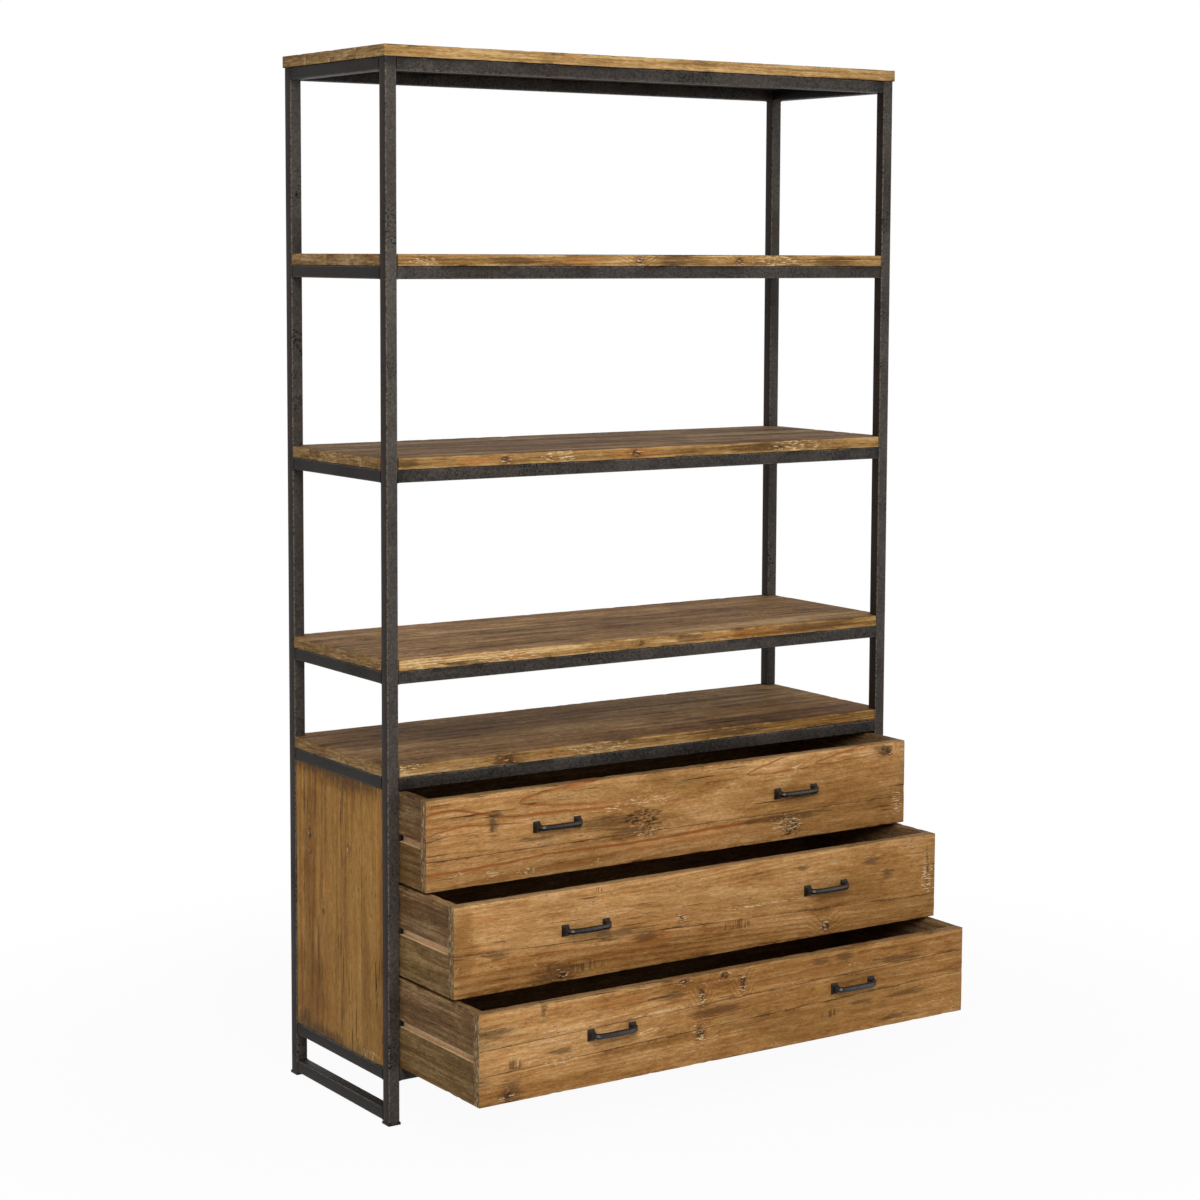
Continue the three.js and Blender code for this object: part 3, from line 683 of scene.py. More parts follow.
class Wood(Tree):
    """Old pine, whose colour is laid on layer by layer over each plank."""

    def __init__(self, name, marks, grain, deep):
        super().__init__(name)
        self.marks = marks or {}
        self.place, half = self.vector("place"), self.vector("half")
        point = self.node("VectorMath", self.place, half, self.vector("shift"), operation="MULTIPLY_ADD")
        self.point = self.scaled(point.outputs[0], grain)
        _, self.across, self.through = self.parts(self.point)
        edges = [self.math("ABSOLUTE", part) for part in self.parts(self.place)]
        self.at_end, _, self.at_face = edges
        gaps = [self.times(self.less(1.0, at), size) for at, size in zip(edges, self.parts(half))]
        self.end_gap, self.seam_gap, self.face_gap = gaps
        self.is_broad = self.step(self.at_face, 0.90, 0.985)

        # The placed marks have uneven outlines, so each spot is moved a little before it is measured
        waver = self.noise(self.scaled(self.point, (22.0, 60.0, 60.0)), 1.0, 3.0, shown="Color")
        sway = self.node("VectorMath", waver, (0.5, 0.5, 0.5), operation="SUBTRACT").outputs[0]
        spot = self.node("VectorMath", sway, WAVER, self.vector("board"), operation="MULTIPLY_ADD").outputs[0]
        self.spot = self.scaled(spot, (1.0, 1.0, deep))

    def pattern(self, scale, detail, roughness=0.5):
        """Noise drawn out by its own amounts along the grain, across it and through."""
        return self.noise(self.scaled(self.point, scale), 1.0, detail, roughness)

    def cover(self, amount, weight, paint, blend="MIX"):
        """Lays a paint over the colour so far."""
        self.colour = self.mix(self.times(amount, weight), self.colour, paint, blend)

    def near(self, kind):
        """How far a spot is from the nearest mark of a kind, where 1 is that mark's own edge."""
        nearest = FAR
        for along, across, half_long, half_wide in self.marks.get(kind, ()):
            spread = self.scaled(self.offset(along, across), (1 / half_long, 1 / half_wide, 1 / half_wide))
            length = self.node("VectorMath", spread, operation="LENGTH").outputs["Value"]
            nearest = self.math("MINIMUM", nearest, length)
        return nearest

    def offset(self, along, across):
        return self.node("VectorMath", self.spot, (along, across, 0), operation="SUBTRACT").outputs[0]

    def arch_lines(self):
        """Dark year rings cut in long arches.

        An arch is its tip, the way it opens (1 or -1), its slope, its length and its half width.
        """
        lines = 0.0
        for tip_along, tip_across, way, slope, length, half_wide in self.marks.get("arches", ()):
            x, y, _ = self.parts(self.offset(tip_along, tip_across))
            run = self.times(x, way)
            rise = self.add(y, self.times(run, -slope))
            opened = self.times(self.times(rise, rise), -1 / half_wide ** 2)
            inside = self.add(self.times(run, 1 / length), opened)
            steep = self.times(rise, 2 / half_wide ** 2)
            grade = self.math("SQRT", self.add(self.times(steep, steep), 1 / length ** 2))
            gap = self.math("DIVIDE", inside, grade)
            fade = min(ARCH_FADE, half_wide / 3)
            line = self.times(self.step(gap, *ARCH_OUTSIDE), self.step(gap, fade, ARCH_INSIDE))
            line = self.times(line, self.step(run, length * 2.4, length * 0.6))
            lines = self.most(lines, line)
        return lines

    def ring_lines(self):
        """Year rings that run along the board as curved lines, each with half its width and its points."""
        along, across, _ = self.parts(self.spot)
        lines = 0.0
        for half_wide, points in self.marks.get("rings", ()):
            first, last = points[0][0], points[-1][0]
            run = self.node("MapRange", along, first, last).outputs[0]
            curve = self.node("FloatCurve", 1.0, run)
            bends = curve.mapping.curves[0].points
            while len(bends) < len(points):
                bends.new(0.5, 0.5)
            for bend, (x, y) in zip(bends, points):
                bend.location = ((x - first) / (last - first), 0.5 + y / RING_SPAN)
            curve.mapping.update()
            height = self.times(self.add(curve.outputs[0], -0.5), RING_SPAN)
            gap = self.math("ABSOLUTE", self.less(across, height))
            ended = self.step(along, last, last - RING_END)
            line = self.times(self.step(gap, half_wide, half_wide * 0.4), ended)
            lines = self.most(lines, line)
        return lines

    def find_knots(self, chance):
        """Knots: the placed ones, and others in the cells of a sparse pattern."""
        gap = self.near("knots")
        if chance:
            cells = self.node("TexVoronoi", voronoi_dimensions="2D", feature="F1")
            self.put(cells.inputs["Vector"], self.scaled(self.point, (3.4, 9.0, 1.0)))
            self.put(cells.inputs["Scale"], 1.0)
            size = self.step(self.parts(cells.outputs["Color"])[0], 1.0 - chance, 1.0)
            reach = self.add(self.times(size, 0.075), 0.0001)
            gap = self.math("MINIMUM", gap, self.math("DIVIDE", cells.outputs["Distance"], reach))
        self.knot_gap = gap
        self.knot = self.step(gap, 1.0, 0.65)
        self.halo = self.step(gap, 4.5, 0.5)

    def draw_rings(self):
        """Year rings: they run along the board, bent by slow noise and round the knots."""
        self.slow = self.pattern((0.55, 5.0, 5.0), 1.0, 0.4)
        ripple = self.pattern((4.0, 26.0, 26.0), 2.0)
        ring = self.math("FRACT", self.sum(
            self.times(self.slow, 16.0),
            self.times(self.across, 80.0),
            self.times(self.through, 170.0),
            self.add(self.times(ripple, 0.6), self.times(self.halo, 2.4)),
        ))
        late = self.times(self.step(ring, 0.30, 0.92), self.step(ring, 1.0, 0.94))
        shown = self.step(self.noise(self.scaled(self.point, (0.9, 9.0, 9.0)), 1.3, 2.0), 0.42, 0.70)
        self.late = self.times(late, self.add(0.12, self.times(shown, 0.80)))

    def choose_tone(self, broad, narrow, bands, two_toned):
        """Rings, fibres, streaks and bands together choose a colour from dark to pale."""
        self.fibre = self.pattern((17.0, 200.0, 200.0), 3.0, 0.7)
        self.streak = self.pattern((4.5, 110.0, 110.0), 6.0, 0.78)
        self.mottle = self.pattern((10.0, 26.0, 26.0), 7.0, 0.78)
        self.frayed = self.add(self.pattern((14.0, 260.0, 260.0), 4.0, 0.75), -0.5)
        plank_tone = self.node("TexWhiteNoise", self.vector("shift"), noise_dimensions="3D")
        lower = self.times(self.step(self.parts(self.place)[1], 0.03, -0.03), two_toned)
        tone = self.sum(
            self.swing(self.step(self.fibre, 0.36, 0.64), 0.10),
            self.swing(self.streak, 1.4 * bands),
            self.swing(self.pattern((90.0, 330.0, 330.0), 3.0, 0.8), 0.7),
            self.swing(self.pattern((0.9, 24.0, 24.0), 3.0, 0.55), 0.9 * bands),
            self.swing(self.mottle, 1.0),
            self.swing(plank_tone.outputs["Value"], 0.10),
            0.57,
            self.times(self.late, -0.20),
            self.times(lower, 0.10),
        )
        stops = (0.12, 0.38, 0.62, 0.90)
        narrow_colour = self.ramp(self.add(tone, 0.02), list(zip(stops, narrow)))
        broad_colour = self.ramp(tone, list(zip(stops, broad)))
        self.colour = self.mix(self.is_broad, narrow_colour, broad_colour)
        self.colour = self.mix(lower, self.colour, LOWER_TINT, "MULTIPLY")

    def redden(self):
        """Late wood is redder, and so are the placed glows, arches and rings."""
        self.cover(self.late, 0.22, AMBER)
        glow = self.times(self.step(self.near("ambers"), 1.4, 0.2), self.step(self.streak, 0.35, 0.62))
        self.cover(glow, 0.6, AMBER)
        arched = self.most(self.arch_lines(), self.ring_lines())
        self.cover(self.times(arched, self.step(self.streak, 0.22, 0.46)), 0.80, RED_RING)

    def lay_soil(self, soil, soiled):
        """Soil lies in patches and streaks, at the placed stains, and at the ends."""
        green = self.step(self.pattern((2.0, 8.0, 8.0), 4.0, 0.6), 0.50, 0.68)
        self.cover(green, 0.55 * soiled, GREEN_TINT, "MULTIPLY")
        dirt = self.sum(self.add(self.mottle, self.add(self.streak, -0.5)), self.times(self.frayed, 0.7))
        self.cover(self.step(dirt, 0.59, 0.68), 0.60 * soiled, soil)
        shade_gap = self.add(self.near("shades"), self.swing(self.mottle, 1.6))
        self.cover(self.step(shade_gap, 1.25, 0.45), 0.75, SHADE_TINT, "MULTIPLY")
        stain_gap = self.sum(self.near("stains"), self.swing(self.streak, 1.5), self.times(self.frayed, 4.0))
        self.cover(self.step(stain_gap, 1.15, 0.60), 0.62, soil)
        end_soil = self.times(self.step(self.end_gap, END_SOIL, 0.0), self.step(self.mottle, 0.42, 0.66))
        self.cover(end_soil, 0.6, soil)
        stripes = self.step(self.pattern((230.0, 14.0, 14.0), 1.0), 0.50, 0.60)
        self.cover(self.times(stripes, self.step(self.near("hatches"), 1.2, 0.5)), 0.7, soil)

    def colour_knots(self, deep):
        """Knots have a red rim and a dark heart; larger bursts of torn grain are dark and pale."""
        self.cover(self.step(self.knot_gap, 2.0, 0.9), 0.42, KNOT_RIM)
        heart = self.step(self.noise(self.point, 150.0, 3.0, 0.6), 0.36, 0.60)
        self.cover(self.knot, self.add(0.45 - 0.15 * deep, self.times(heart, 0.45)), KNOT_HEART)
        gap = self.sum(self.near("bursts"), self.swing(self.mottle, 3.0), self.times(self.frayed, 2.0))
        burst = self.pattern((70.0, 210.0, 210.0), 3.0, 0.75)
        self.cover(self.step(gap, 1.5, 0.3), 0.40, BURST_BROWN)
        self.cover(self.times(self.step(gap, 1.9, 0.7), self.step(burst, 0.50, 0.47)), 0.85, BURST_DARK)
        self.cover(self.times(self.step(gap, 2.2, 0.9), self.step(burst, 0.60, 0.63)), 0.40, BURST_PALE)

    def open_cracks(self):
        """Cracks run along the grain, and dirt fills the seams between planks."""
        split = self.step(self.pattern((6.5, 190.0, 190.0), 3.0, 0.6), 0.635, 0.660)
        torn = self.step(self.pattern((2.2, 13.0, 13.0), 2.0), 0.43, 0.60)
        self.crack = self.times(split, self.most(torn, self.times(self.halo, 0.9)))
        self.cover(self.crack, 0.80, CRACK_DARK)
        line_wide = self.add(SEAM_LINE, self.times(self.step(self.streak, 0.48, 0.66), SEAM_SPREAD))
        seam = self.times(self.math("LESS_THAN", self.seam_gap, line_wide), self.is_broad)
        self.cover(seam, 0.72, SEAM_DARK)

    def chip_pale(self, fleck):
        """Pale chips where the wood is rough, round the knots, at the ends and at the placed spots."""
        flake = self.pattern((75.0, 400.0, 400.0), 3.0, 0.62)
        rough_zone = self.step(self.pattern((3.6, 19.0, 19.0), 3.0, 0.6), 0.55, 0.70)
        placed_zone = self.step(self.near("flecks"), 1.5, 0.5)
        end_zone = self.times(self.step(self.end_gap, END_CHIPS, 0.0), 0.5)
        zone = self.most(self.times(rough_zone, fleck), end_zone)
        knot_zone = self.times(self.step(self.knot_gap, 3.2, 1.0), 0.8)
        zone = self.most(self.most(zone, placed_zone), knot_zone)
        limit = self.less(0.78, self.times(zone, 0.235))
        self.flaked = self.step(self.less(flake, limit), 0.0, 0.03)
        self.cover(self.flaked, 0.80, CHIP_PALE)
        specks = self.step(self.pattern((90.0, 230.0, 230.0), 2.0, 0.6), 0.635, 0.665)
        self.cover(self.times(specks, self.step(self.mottle, 0.44, 0.58)), 0.55, SPECK_DARK)

    def rub_arrises_and_shade_underside(self, under_shade):
        """Arrises are rubbed, some pale and some dark, and the underside of a shelf is darkened as painted
        shade.
        """
        gap = self.add(self.seam_gap, self.face_gap)
        self.cover(self.times(self.step(gap, *PALE_ARRIS), self.step(self.mottle, 0.44, 0.60)), 0.50, RUBBED)
        self.cover(self.times(self.step(gap, *DARK_ARRIS), self.step(self.mottle, 0.46, 0.36)), 0.62, GRIMY)
        # Painted shade: the underside of a shelf is darkened
        self.cover(self.step(self.parts(self.place)[2], -0.90, -0.985), under_shade, UNDERSIDE_SHADE)

    def show_end_grain(self, ends):
        """The sawn ends show arcs of year rings, torn dark and pale."""
        arcs = self.math("FRACT", self.add(self.times(self.through, 210.0), self.times(self.slow, 60.0)))
        burr = self.pattern((10.0, 70.0, 230.0), 5.0, 0.75)
        sawn = self.mix(self.step(arcs, 0.2, 0.9), END_PALE, END_BROWN)
        sawn = self.mix(self.step(burr, 0.50, 0.43), sawn, END_DARK)
        sawn = self.mix(self.step(burr, 0.55, 0.59), sawn, END_TORN)
        self.cover(self.math("GREATER_THAN", self.at_end, 0.99990), ends, sawn)

    def set_shader(self, rough):
        """Gives the shader the colour, a matt gloss that is lower in cracks, and a fine relief."""
        self.put(self.shader.inputs["Base Color"], self.colour)
        broken = self.times(self.most(self.crack, self.flaked), 0.25)
        gloss = self.sum(rough, self.swing(self.fibre, 0.35), broken)
        self.put(self.shader.inputs["Roughness"], self.clip(gloss))
        self.shader.inputs["Specular IOR Level"].default_value = 0.12
        relief = self.sum(
            self.times(self.fibre, 0.5),
            self.times(self.streak, 0.6),
            self.times(self.late, 0.15),
            self.times(self.most(self.crack, self.knot), -0.8),
            self.times(self.flaked, -0.5),
        )
        self.put(self.shader.inputs["Normal"], self.bump(relief, RELIEF, 0.6))


def wood(
    name, broad, narrow, soil=SOIL, marks=None, knots=0.12, fleck=0.5, soiled=0.5, bands=1.0,
    grain=(1.0, 1.0, 1.0), ends=0.65, under_shade=0.0, rough=0.6, deep=0.0, two_toned=0.0,
):
    """Old pine. broad and narrow hold the dark to pale colours of a plank's broad and narrow faces.

    deep is 1 where the placed marks are round through the thickness too, as on the edge of a shelf.
    two_toned is 1 where the lower half is a paler and greyer board than the upper one.
    """
    pine = Wood(name, marks, grain, deep)
    pine.find_knots(knots)
    pine.draw_rings()
    pine.choose_tone(broad, narrow, bands, two_toned)
    pine.redden()
    pine.lay_soil(soil, soiled)
    pine.colour_knots(deep)
    pine.open_cracks()
    pine.chip_pale(fleck)
    pine.rub_arrises_and_shade_underside(under_shade)
    pine.show_end_grain(ends)
    pine.set_shader(rough)
    return pine.material


def metal(name, dark, light, brown, rough, pitted, level):
    """Blackened steel or iron: fine hammered specks, smudges at the joints, a painted highlight on the
    rounded edges and painted shade on the sides.
    """
    tree = Tree(name)
    point = tree.node("TexCoord").outputs["Object"]
    place, half = tree.vector("place"), tree.vector("half")
    at_end, at_side, at_front = [tree.math("ABSOLUTE", part) for part in tree.parts(place)]
    half_long = tree.parts(half)[0]
    is_rail = tree.step(half_long, *POST_TO_RAIL)
    is_side_rail = tree.step(half_long, *FRONT_TO_SIDE_RAIL)

    # The front and back are dark grey, and the sides are darker and browner as painted shade; rust browns
    # patches anywhere
    cloud = tree.noise(point, 6.0, 4.0, 0.6)
    grain = tree.noise(point, 210.0, 4.0, 0.85)
    tone = tree.sum(tree.swing(grain, 2.2), tree.swing(cloud, 1.0), 0.55, tree.times(is_rail, -0.20))
    colour = tree.mix(tree.clip(tone), dark, light)
    rust = tree.step(tree.noise(point, 3.5, 5.0, 0.65), 0.48, 0.70)
    # Painted shade: the faces on either side of each tube are darkened and browned, nearly black on a side
    # rail; rust patches take the same colour
    sides = tree.times(tree.step(at_side, 0.80, 0.97), 0.95)
    rust_and_side_shade = tree.mix(tree.step(grain, 0.36, 0.64), dark, brown)
    rust_and_side_shade = tree.mix(tree.times(is_side_rail, 0.65), rust_and_side_shade, RAIL_BLACK)
    colour = tree.mix(tree.most(tree.times(rust, 0.5), sides), colour, rust_and_side_shade)

    # A painted highlight in patches along the rounded corners, then dark pits that gather in places, most of
    # all along the corners
    corner = tree.times(tree.step(at_side, 0.74, 0.93), tree.step(at_front, 0.74, 0.93))
    corner_highlight = tree.times(corner, tree.step(grain, 0.36, 0.62))
    colour = tree.mix(tree.times(corner_highlight, 0.55), colour, HIGHLIGHT_STEEL)
    pits = tree.noise(point, 260.0, 2.0, 0.6)
    gathered = tree.step(tree.noise(point, 8.0, 3.0, 0.6), 0.48, 0.66)
    edge_zone = tree.step(tree.most(at_side, at_front), 0.45, 1.0)
    reach = tree.add(0.10, tree.times(edge_zone, 0.08))
    limit = tree.less(0.72, tree.times(gathered, reach))
    pit = tree.step(tree.less(pits, limit), 0.0, 0.04)
    colour = tree.mix(tree.times(pit, pitted), colour, PIT_BLACK)

    # Scorched and smudged where a tube meets its post, and darker in patches along a rail's upper part,
    # beneath the shelf
    upper = tree.step(tree.parts(place)[1], 0.10, 0.95)
    upper_patches = tree.step(tree.noise(point, 7.0, 4.0, 0.65), 0.46, 0.60)
    upper_rail_dark = tree.times(upper_patches, tree.times(upper, is_rail))
    colour = tree.mix(tree.times(upper_rail_dark, 0.80), colour, NEAR_BLACK)
    end_gap = tree.times(tree.less(1.0, at_end), half_long)
    scorch = tree.step(tree.noise(point, 26.0, 3.0, 0.6), 0.40, 0.58)
    smudge = tree.times(tree.step(end_gap, *SCORCHED_END), scorch)
    colour = tree.mix(tree.times(smudge, 0.75), colour, NEAR_BLACK)

    tree.put(tree.shader.inputs["Base Color"], colour)
    tree.shader.inputs["Metallic"].default_value = 0.10
    tree.shader.inputs["Specular IOR Level"].default_value = level
    gloss = tree.sum(rough, tree.swing(cloud, 0.25), tree.times(pit, 0.25))
    tree.put(tree.shader.inputs["Roughness"], tree.clip(gloss))
    height = tree.add(tree.times(grain, 0.5), tree.times(pit, -0.8 * pitted))
    tree.put(tree.shader.inputs["Normal"], tree.bump(height, RELIEF, 0.8))
    return tree.material


wooden = {}
for board in ("top_board", *SHELF_SHARES):
    wooden[board] = wood(
        f"{board}_wood", PATINA_WARM if board in WARM_BOARDS else PATINA, EDGE, marks=MARKS.get(board),
        knots=0.08, fleck=0.9, soiled=0.3, bands=1.15, grain=ACROSS_SHELF,
        ends=0.3, under_shade=0.8, rough=0.72, deep=1.0,
    )
for board in FRONT_SHARES:
    wooden[board] = wood(
        f"{board}_wood", HONEY, RIM, marks=MARKS[board], knots=0.0, fleck=0.6, soiled=0.65, bands=0.6,
    )
panel_wood = wood(
    "panel_wood", HONEY_PANEL, RIM, marks=MARKS["side_panel"],
    knots=0.04, fleck=0.2, soiled=0.6, bands=0.7, grain=ACROSS_PANEL,
)
box_wood = wood(
    "box_wood", OLD_BROWN, OLD_BROWN,
    knots=0.08, fleck=0.4, soiled=0.7, bands=0.9, rough=0.75, two_toned=1.0,
)
inner_wood = wood("inner_wood", PATINA, OLD_BROWN, knots=0.08, fleck=0.3, bands=0.6, rough=0.75)
# The groove's pale colour is fresh wood and painted light
groove_wood = wood("groove_wood", FRESH_WITH_PAINTED_LIGHT, FRESH_WITH_PAINTED_LIGHT, FRESH_SOIL, knots=0.0, fleck=0.1, soiled=0.3, rough=0.7)
frame_steel = metal("frame_steel", *STEEL_COLOURS, rough=0.52, pitted=0.9, level=0.13)
runner_steel = metal("runner_steel", *RUNNER_COLOURS, rough=0.5, pitted=0.3, level=0.2)
handle_iron = metal("handle_iron", *IRON_COLOURS, rough=0.28, pitted=0.5, level=0.35)


def corners(node):
    low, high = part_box(node)
    return list(low), list(high)


def finish(piece, body, slot, *nodes):
    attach(piece, body)
    if nodes:
        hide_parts(*nodes)


# Frame: square tube with rounded corners, and a weld round each end that butts on a post

def tube(name, low, high, axis):
    """A length of square tube along an axis."""
    bar = add_block(name, low, high)
    bevel(bar, TUBE_RADIUS, TUBE_RADIUS_STEPS, axis)
    mark_grain(bar, low, high, TUBE_GRAIN[axis])
    return bar


def weld(low, high, axis, at, inward):
    """The ground-down weld round a tube's end, from the post's face inward along the tube."""
    weld_low = [value - WELD_PROUD for value in low]
    weld_high = [value + WELD_PROUD for value in high]
    weld_low[axis], weld_high[axis] = sorted((at, at + inward * WELD_WIDTH))
    bead = add_block("weld", weld_low, weld_high)
    bevel(bead, TUBE_RADIUS, TUBE_RADIUS_STEPS, axis)
    for across in range(3):
        if across != axis:
            cut_across(bead, across, WELD_CUTS)
    wear(bead, WELD_WEAR, WELD_WEAR_SIZE)
    mark_grain(bead, low, high, TUBE_GRAIN[axis])
    return bead


def make_rail(node, axis):
    """A tube between two posts, with the weld at each end."""
    low, high = corners(node)
    bar = tube(node, low, high, axis)
    welds = [weld(low, high, axis, low[axis], 1), weld(low, high, axis, high[axis], -1)]
    rail = join("dressed_" + node, [bar, *welds])
    smooth(rail, TUBE_SMOOTH_BELOW)
    rail.data.materials.append(frame_steel)
    finish(rail, "frame", "frame_steel", node)


def make_post(node):
    """A post on its foot plate, which is a little wider than the post."""
    low, high = corners(node)
    rail_low, rail_high = corners("top_left_rail")
    margin = (high[0] - low[0] - rail_high[0] + rail_low[0]) / 2
    shaft_low = [low[0] + margin, low[1] + margin, low[2] + FOOT_HEIGHT]
    shaft_high = [high[0] - margin, high[1] - margin, high[2]]
    shaft = tube(node, shaft_low, shaft_high, 2)
    plate = add_block("plate", low, [high[0], high[1], low[2] + FOOT_HEIGHT])
    bevel(plate, ARRIS, ARRIS_STEPS)
    post = join("dressed_" + node, [shaft, plate])
    smooth(post, TUBE_SMOOTH_BELOW)
    post.data.materials.append(frame_steel)
    finish(post, "frame", "frame_steel", node)


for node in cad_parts:
    if node.endswith("_post"):
        make_post(node)
    elif node.endswith(("front_rail", "back_rail")):
        make_rail(node, 0)
    elif node.endswith(("left_rail", "right_rail", "_stretcher")):
        make_rail(node, 1)


# Boards

def notches(node):
    """The blocks cut from a shelf's four corners to let the posts through."""
    low, high = corners(node)
    post_low, post_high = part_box("front_left_post")
    reach = post_high[0] - post_low[0] - NOTCH_SLACK
    blocks = []
    for x in (low[0], high[0]):
        for y in (low[1], high[1]):
            blocks.append(([x - reach, y - reach, low[2] - reach], [x + reach, y + reach, high[2] + reach]))
    return blocks


low, high = corners("top_board")
top = planks("dressed_top_board", low, high, LONG_FLAT, TOP_SHARES, wooden["top_board"])
finish(top, "frame", "shelf_wood", "top_board")
for node, shares in SHELF_SHARES.items():
    low, high = corners(node)
    shelf = planks("dressed_" + node, low, high, LONG_FLAT, shares, wooden[node], notches(node))
    finish(shelf, "frame", "shelf_wood", node)


# Case round the drawers

for node in ("left_side_panel", "right_side_panel"):
    low, high = corners(node)
    panel = planks("dressed_" + node, low, high, UPRIGHT_SIDE, SIDE_PANEL_SHARES, panel_wood)
    finish(panel, "frame", "panel_wood", node)
low, high = corners("back_panel")
panel = planks("dressed_back_panel", low, high, UPRIGHT_BACK, BACK_PANEL_SHARES, panel_wood)
finish(panel, "frame", "panel_wood", "back_panel")
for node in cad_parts:
    if "_runner_" in node:
        low, high = corners(node)
        runner = add_block("dressed_" + node, low, high)
        bevel(runner, ARRIS, ARRIS_STEPS)
        smooth(runner)
        runner.data.materials.append(runner_steel)
        finish(runner, "frame", "runner_steel", node)


# Drawers

def make_side(name, low, high, groove_low, groove_high, material, body, node):
    """A drawer side with the groove that slides on its runner; the groove shows fresh wood, made paler still
    as painted light.
    """
    board = plank(name, low, high, DEEP_UPRIGHT)
    wear(board, WEAR, WEAR_SIZE)
    chip(board, low, high, DEEP_UPRIGHT)
    cut_away(board, groove_low, groove_high)
    mark_grain(board, low, high, DEEP_UPRIGHT)
    mark_board(board, low, high, DEEP_UPRIGHT)
    smooth(board)
    board.data.materials.append(material)
    board.data.materials.append(groove_wood)
    slack = NOTCH_SLACK / 2
    for face in board.data.polygons:
        spans = zip(groove_low, face.center, groove_high)
        if all(start - slack < middle < end + slack for start, middle, end in spans):
            face.material_index = 1
    finish(board, body, "drawer_box_wood", node)


for number in (1, 2, 3):
    body = f"drawer_{number}"
    node = f"drawer_{number}_front"
    low, high = corners(node)
    front = planks("dressed_" + node, low, high, LONG_UPRIGHT, FRONT_SHARES[node], wooden[node])
    finish(front, body, "drawer_front_wood", node)
    box = f"drawer_{number}_box"
    low, high = corners(box)
    inner_low, inner_high = corners(f"drawer_{number}_bottom")
    sides = (("left", low[0], inner_low[0], box_wood), ("right", inner_high[0], high[0], inner_wood))
    for side, x_low, x_high, material in sides:
        run_low, run_high = corners(f"{side}_runner_{number}")
        groove_low = [run_low[0] - GROOVE_SLACK, low[1] - REACH_PAST, run_low[2] - GROOVE_SLACK]
        groove_high = [run_high[0] + GROOVE_SLACK, high[1] + REACH_PAST, run_high[2] + GROOVE_SLACK / 4]
        side_low, side_high = [x_low, low[1], low[2]], [x_high, high[1], high[2]]
        make_side(f"{body}_{side}_side", side_low, side_high, groove_low, groove_high, material, body, box)
    back_low = [inner_low[0], inner_high[1], low[2]]
    back_high = [inner_high[0], high[1], high[2]]
    back = planks(f"{body}_back", back_low, back_high, LONG_UPRIGHT, (0.0, 1.0), inner_wood)
    finish(back, body, "drawer_box_wood", box)
    bottom = planks(f"dressed_{body}_bottom", inner_low, inner_high, LONG_FLAT, BOTTOM_SHARES, box_wood)
    finish(bottom, body, "drawer_box_wood", f"{body}_bottom")


# Handles: one is modelled at the world origin with its back on y = 0, then copied to each place

def model_foot(x):
    """A square foot that flares to the wood, drawn out ring by ring from its pad."""
    deselect()
    bpy.ops.mesh.primitive_plane_add(size=2, location=(0, 0, 0), rotation=(math.pi / 2, 0, 0))
    foot = bpy.context.active_object
    bpy.ops.object.transform_apply(location=True, rotation=True, scale=True)
    bpy.ops.object.mode_set(mode="EDIT")
    bpy.ops.mesh.select_all(action="SELECT")
    bpy.ops.transform.resize(value=(FOOT_RINGS[0][1], 1, FOOT_RINGS[0][2]))
    for (y, width, height), (next_y, next_width, next_height) in zip(FOOT_RINGS, FOOT_RINGS[1:]):
        bpy.ops.mesh.extrude_region_move(TRANSFORM_OT_translate={"value": (0, y - next_y, 0)})
        bpy.ops.transform.resize(value=(next_width / width, 1, next_height / height))
    bpy.ops.mesh.select_all(action="SELECT")
    bpy.ops.transform.translate(value=(x, 0, 0))
    bpy.ops.mesh.normals_make_consistent(inside=False)
    bpy.ops.object.mode_set(mode="OBJECT")
    bevel(foot, FOOT_ARRIS, ARRIS_STEPS)
    return foot


def model_bar():
    """The bent bar between the feet."""
    deselect()
    curve = bpy.data.curves.new("bar", "CURVE")
    curve.dimensions = "3D"
    curve.bevel_depth = BAR_RADIUS
    curve.bevel_resolution = 2
    curve.use_fill_caps = True
    line = curve.splines.new("NURBS")
    line.points.add(len(BAR_LINE_SHARES) - 1)
    line.order_u = 3
    line.use_endpoint_u = True
    reach = HANDLE_REACH - BAR_RADIUS
    for point, (along, out), swell in zip(line.points, BAR_LINE_SHARES, BAR_SWELL_SHARES):
        point.co = (along * HANDLE_SPAN / 2, -out * reach, 0, 1)
        point.radius = swell
    bar = bpy.data.objects.new("bar", curve)
    bpy.context.collection.objects.link(bar)
    bar.select_set(True)
    bpy.context.view_layer.objects.active = bar
    bpy.ops.object.convert(target="MESH")
    bar = bpy.context.active_object
    bpy.ops.object.mode_set(mode="EDIT")
    bpy.ops.mesh.select_all(action="SELECT")
    bpy.ops.mesh.remove_doubles(threshold=MERGE_GAP)
    bpy.ops.mesh.normals_make_consistent(inside=False)
    bpy.ops.object.mode_set(mode="OBJECT")
    return bar


handle = join("handle", [model_bar(), model_foot(-HANDLE_SPAN / 2), model_foot(HANDLE_SPAN / 2)])
wear(handle, HANDLE_WEAR, HANDLE_WEAR_SIZE)
smooth(handle, HANDLE_SMOOTH_BELOW)
handle.data.materials.append(handle_iron)
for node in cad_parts:
    if node.endswith("_handle"):
        low, high = corners(node)
        place = Vector(((low[0] + high[0]) / 2, high[1], (low[2] + high[2]) / 2))
        copy = handle.copy()
        copy.data = handle.data.copy()
        copy.name = "dressed_" + node
        copy.data.name = copy.name
        bpy.context.collection.objects.link(copy)
        for vertex in copy.data.vertices:
            vertex.co += place
        finish(copy, node[:8], "handle_iron", node)
bpy.data.objects.remove(handle)


# Camera

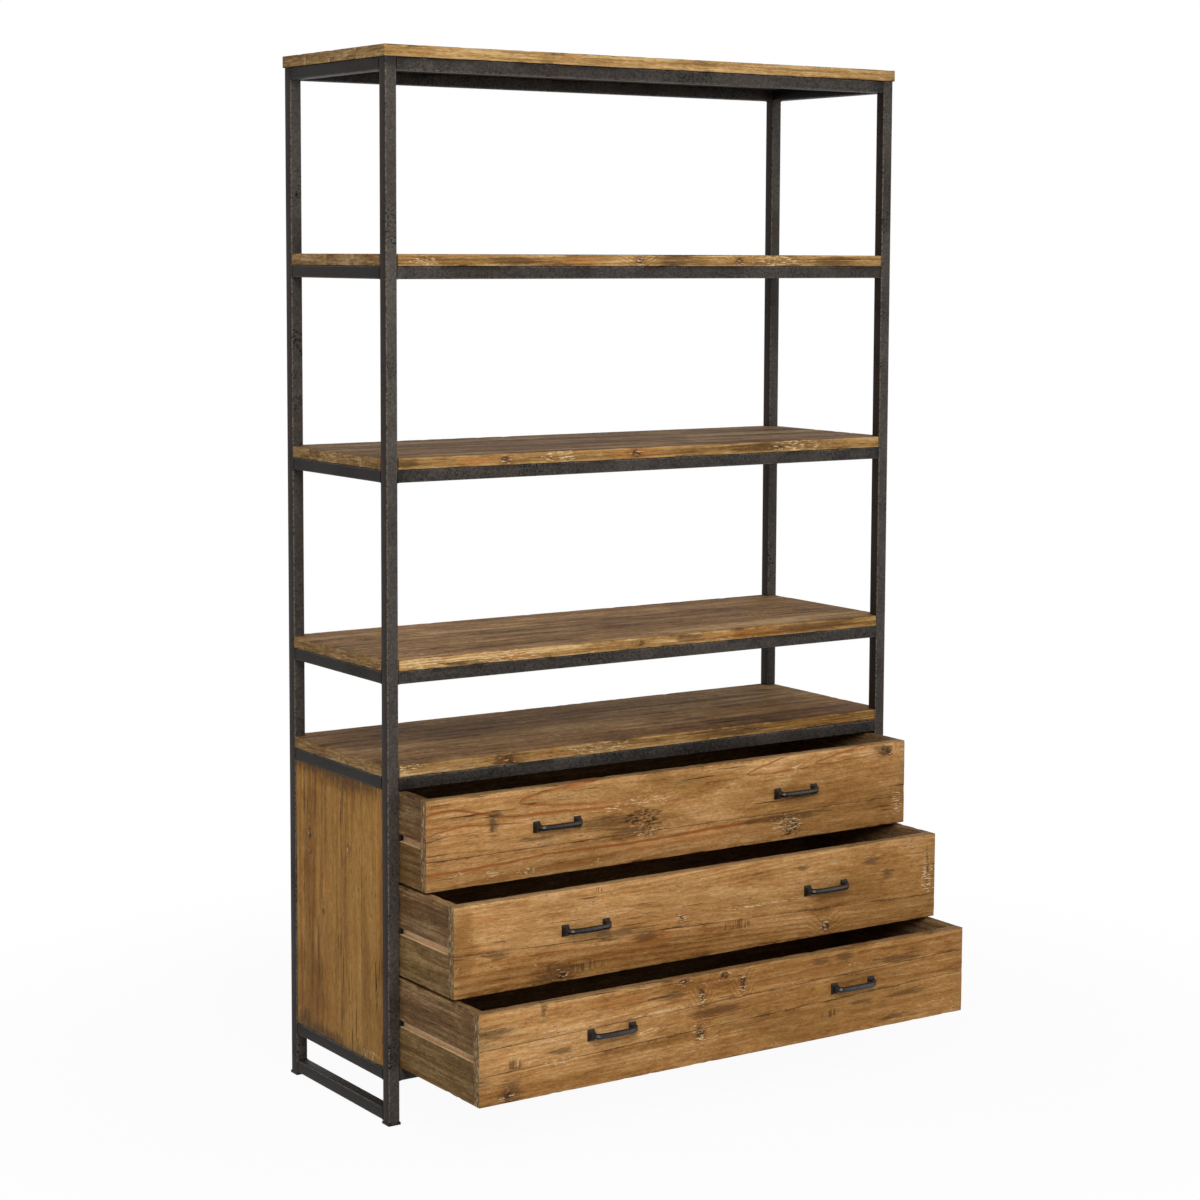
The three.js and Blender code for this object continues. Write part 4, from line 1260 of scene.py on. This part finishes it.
lens_camera = bpy.data.cameras.new("camera")
lens_camera.sensor_width = SENSOR_WIDTH
lens_camera.lens = SENSOR_WIDTH * FOCAL_PIXELS / FRAME_PIXELS
lens_camera.shift_y = (HORIZON_PIXEL - FRAME_PIXELS / 2) / FRAME_PIXELS
camera = bpy.data.objects.new("camera", lens_camera)
bpy.context.collection.objects.link(camera)
backward = Vector((
    math.sin(CAMERA_AZIMUTH) * math.cos(CAMERA_ELEVATION),
    -math.cos(CAMERA_AZIMUTH) * math.cos(CAMERA_ELEVATION),
    math.sin(CAMERA_ELEVATION),
))
camera.location = CAMERA_PLACE
camera.rotation_mode = "QUATERNION"
camera.rotation_quaternion = backward.to_track_quat("Z", "Y") @ Quaternion((0, 0, 1), CAMERA_ROLL)
bpy.context.scene.camera = camera


# Light: three soft boxes and a pale room, plain enough that a colour shows about as it is written

def soft_box(name, place, target, size, power):
    light = bpy.data.lights.new(name, "AREA")
    light.shape = "RECTANGLE"
    light.size, light.size_y = size, size
    light.energy = power
    box = bpy.data.objects.new(name, light)
    box.location = place
    box.rotation_mode = "QUATERNION"
    box.rotation_quaternion = (Vector(place) - Vector(target)).to_track_quat("Z", "Y")
    bpy.context.collection.objects.link(box)


for name, (place, target, size, power) in SOFT_BOXES.items():
    soft_box(name, place, target, size, power)


def shown_rays(nodes, links):
    """1 for a ray that shows the background: seen by the camera, in a reflection or through glass."""
    rays = nodes.new("ShaderNodeLightPath")
    shown = rays.outputs["Is Camera Ray"]
    for kind in ("Is Glossy Ray", "Is Transmission Ray"):
        either = nodes.new("ShaderNodeMath")
        either.operation = "MAXIMUM"
        links.new(shown, either.inputs[0])
        links.new(rays.outputs[kind], either.inputs[1])
        shown = either.outputs[0]
    return shown


def set_world():
    """A pale room that lights the object a little and shows as white behind it."""
    world = bpy.data.worlds.new("room")
    world.use_nodes = True
    bpy.context.scene.world = world
    nodes, links = world.node_tree.nodes, world.node_tree.links
    background = nodes["Background"]
    background.inputs["Color"].default_value = (1, 1, 1, 1)
    level = nodes.new("ShaderNodeMapRange")
    level.inputs["To Min"].default_value = ROOM_LEVEL
    level.inputs["To Max"].default_value = 1.0
    links.new(shown_rays(nodes, links), level.inputs["Value"])
    links.new(level.outputs[0], background.inputs["Strength"])


def add_floor():
    """A floor that shows white, turning grey near the object by its shadow."""
    deselect()
    bpy.ops.mesh.primitive_plane_add(size=FLOOR_SIZE, location=(0, 0, 0))
    floor = bpy.context.active_object
    floor.name = "floor"
    tree = Tree("floor")
    tree.shader.inputs["Base Color"].default_value = (0.86, 0.86, 0.86, 1)
    tree.shader.inputs["Roughness"].default_value = 0.9
    tree.shader.inputs["Specular IOR Level"].default_value = 0.1
    glow = tree.node("Emission", (1, 1, 1, 1), 1.0)
    place = tree.node("TexCoord").outputs["Object"]
    way = tree.node("VectorMath", place, operation="LENGTH").outputs["Value"]
    white = tree.add(NEAR_WHITE, tree.times(tree.step(way, *SHADOW_REACH), 1 - NEAR_WHITE))
    shown = tree.times(shown_rays(tree.nodes, tree.links), white)
    blend = tree.node("MixShader", shown, tree.shader.outputs[0], glow.outputs[0])
    tree.links.new(blend.outputs[0], tree.nodes["Material Output"].inputs["Surface"])
    floor.data.materials.append(tree.material)


set_world()
add_floor()
bpy.context.scene.view_settings.view_transform = "Standard"
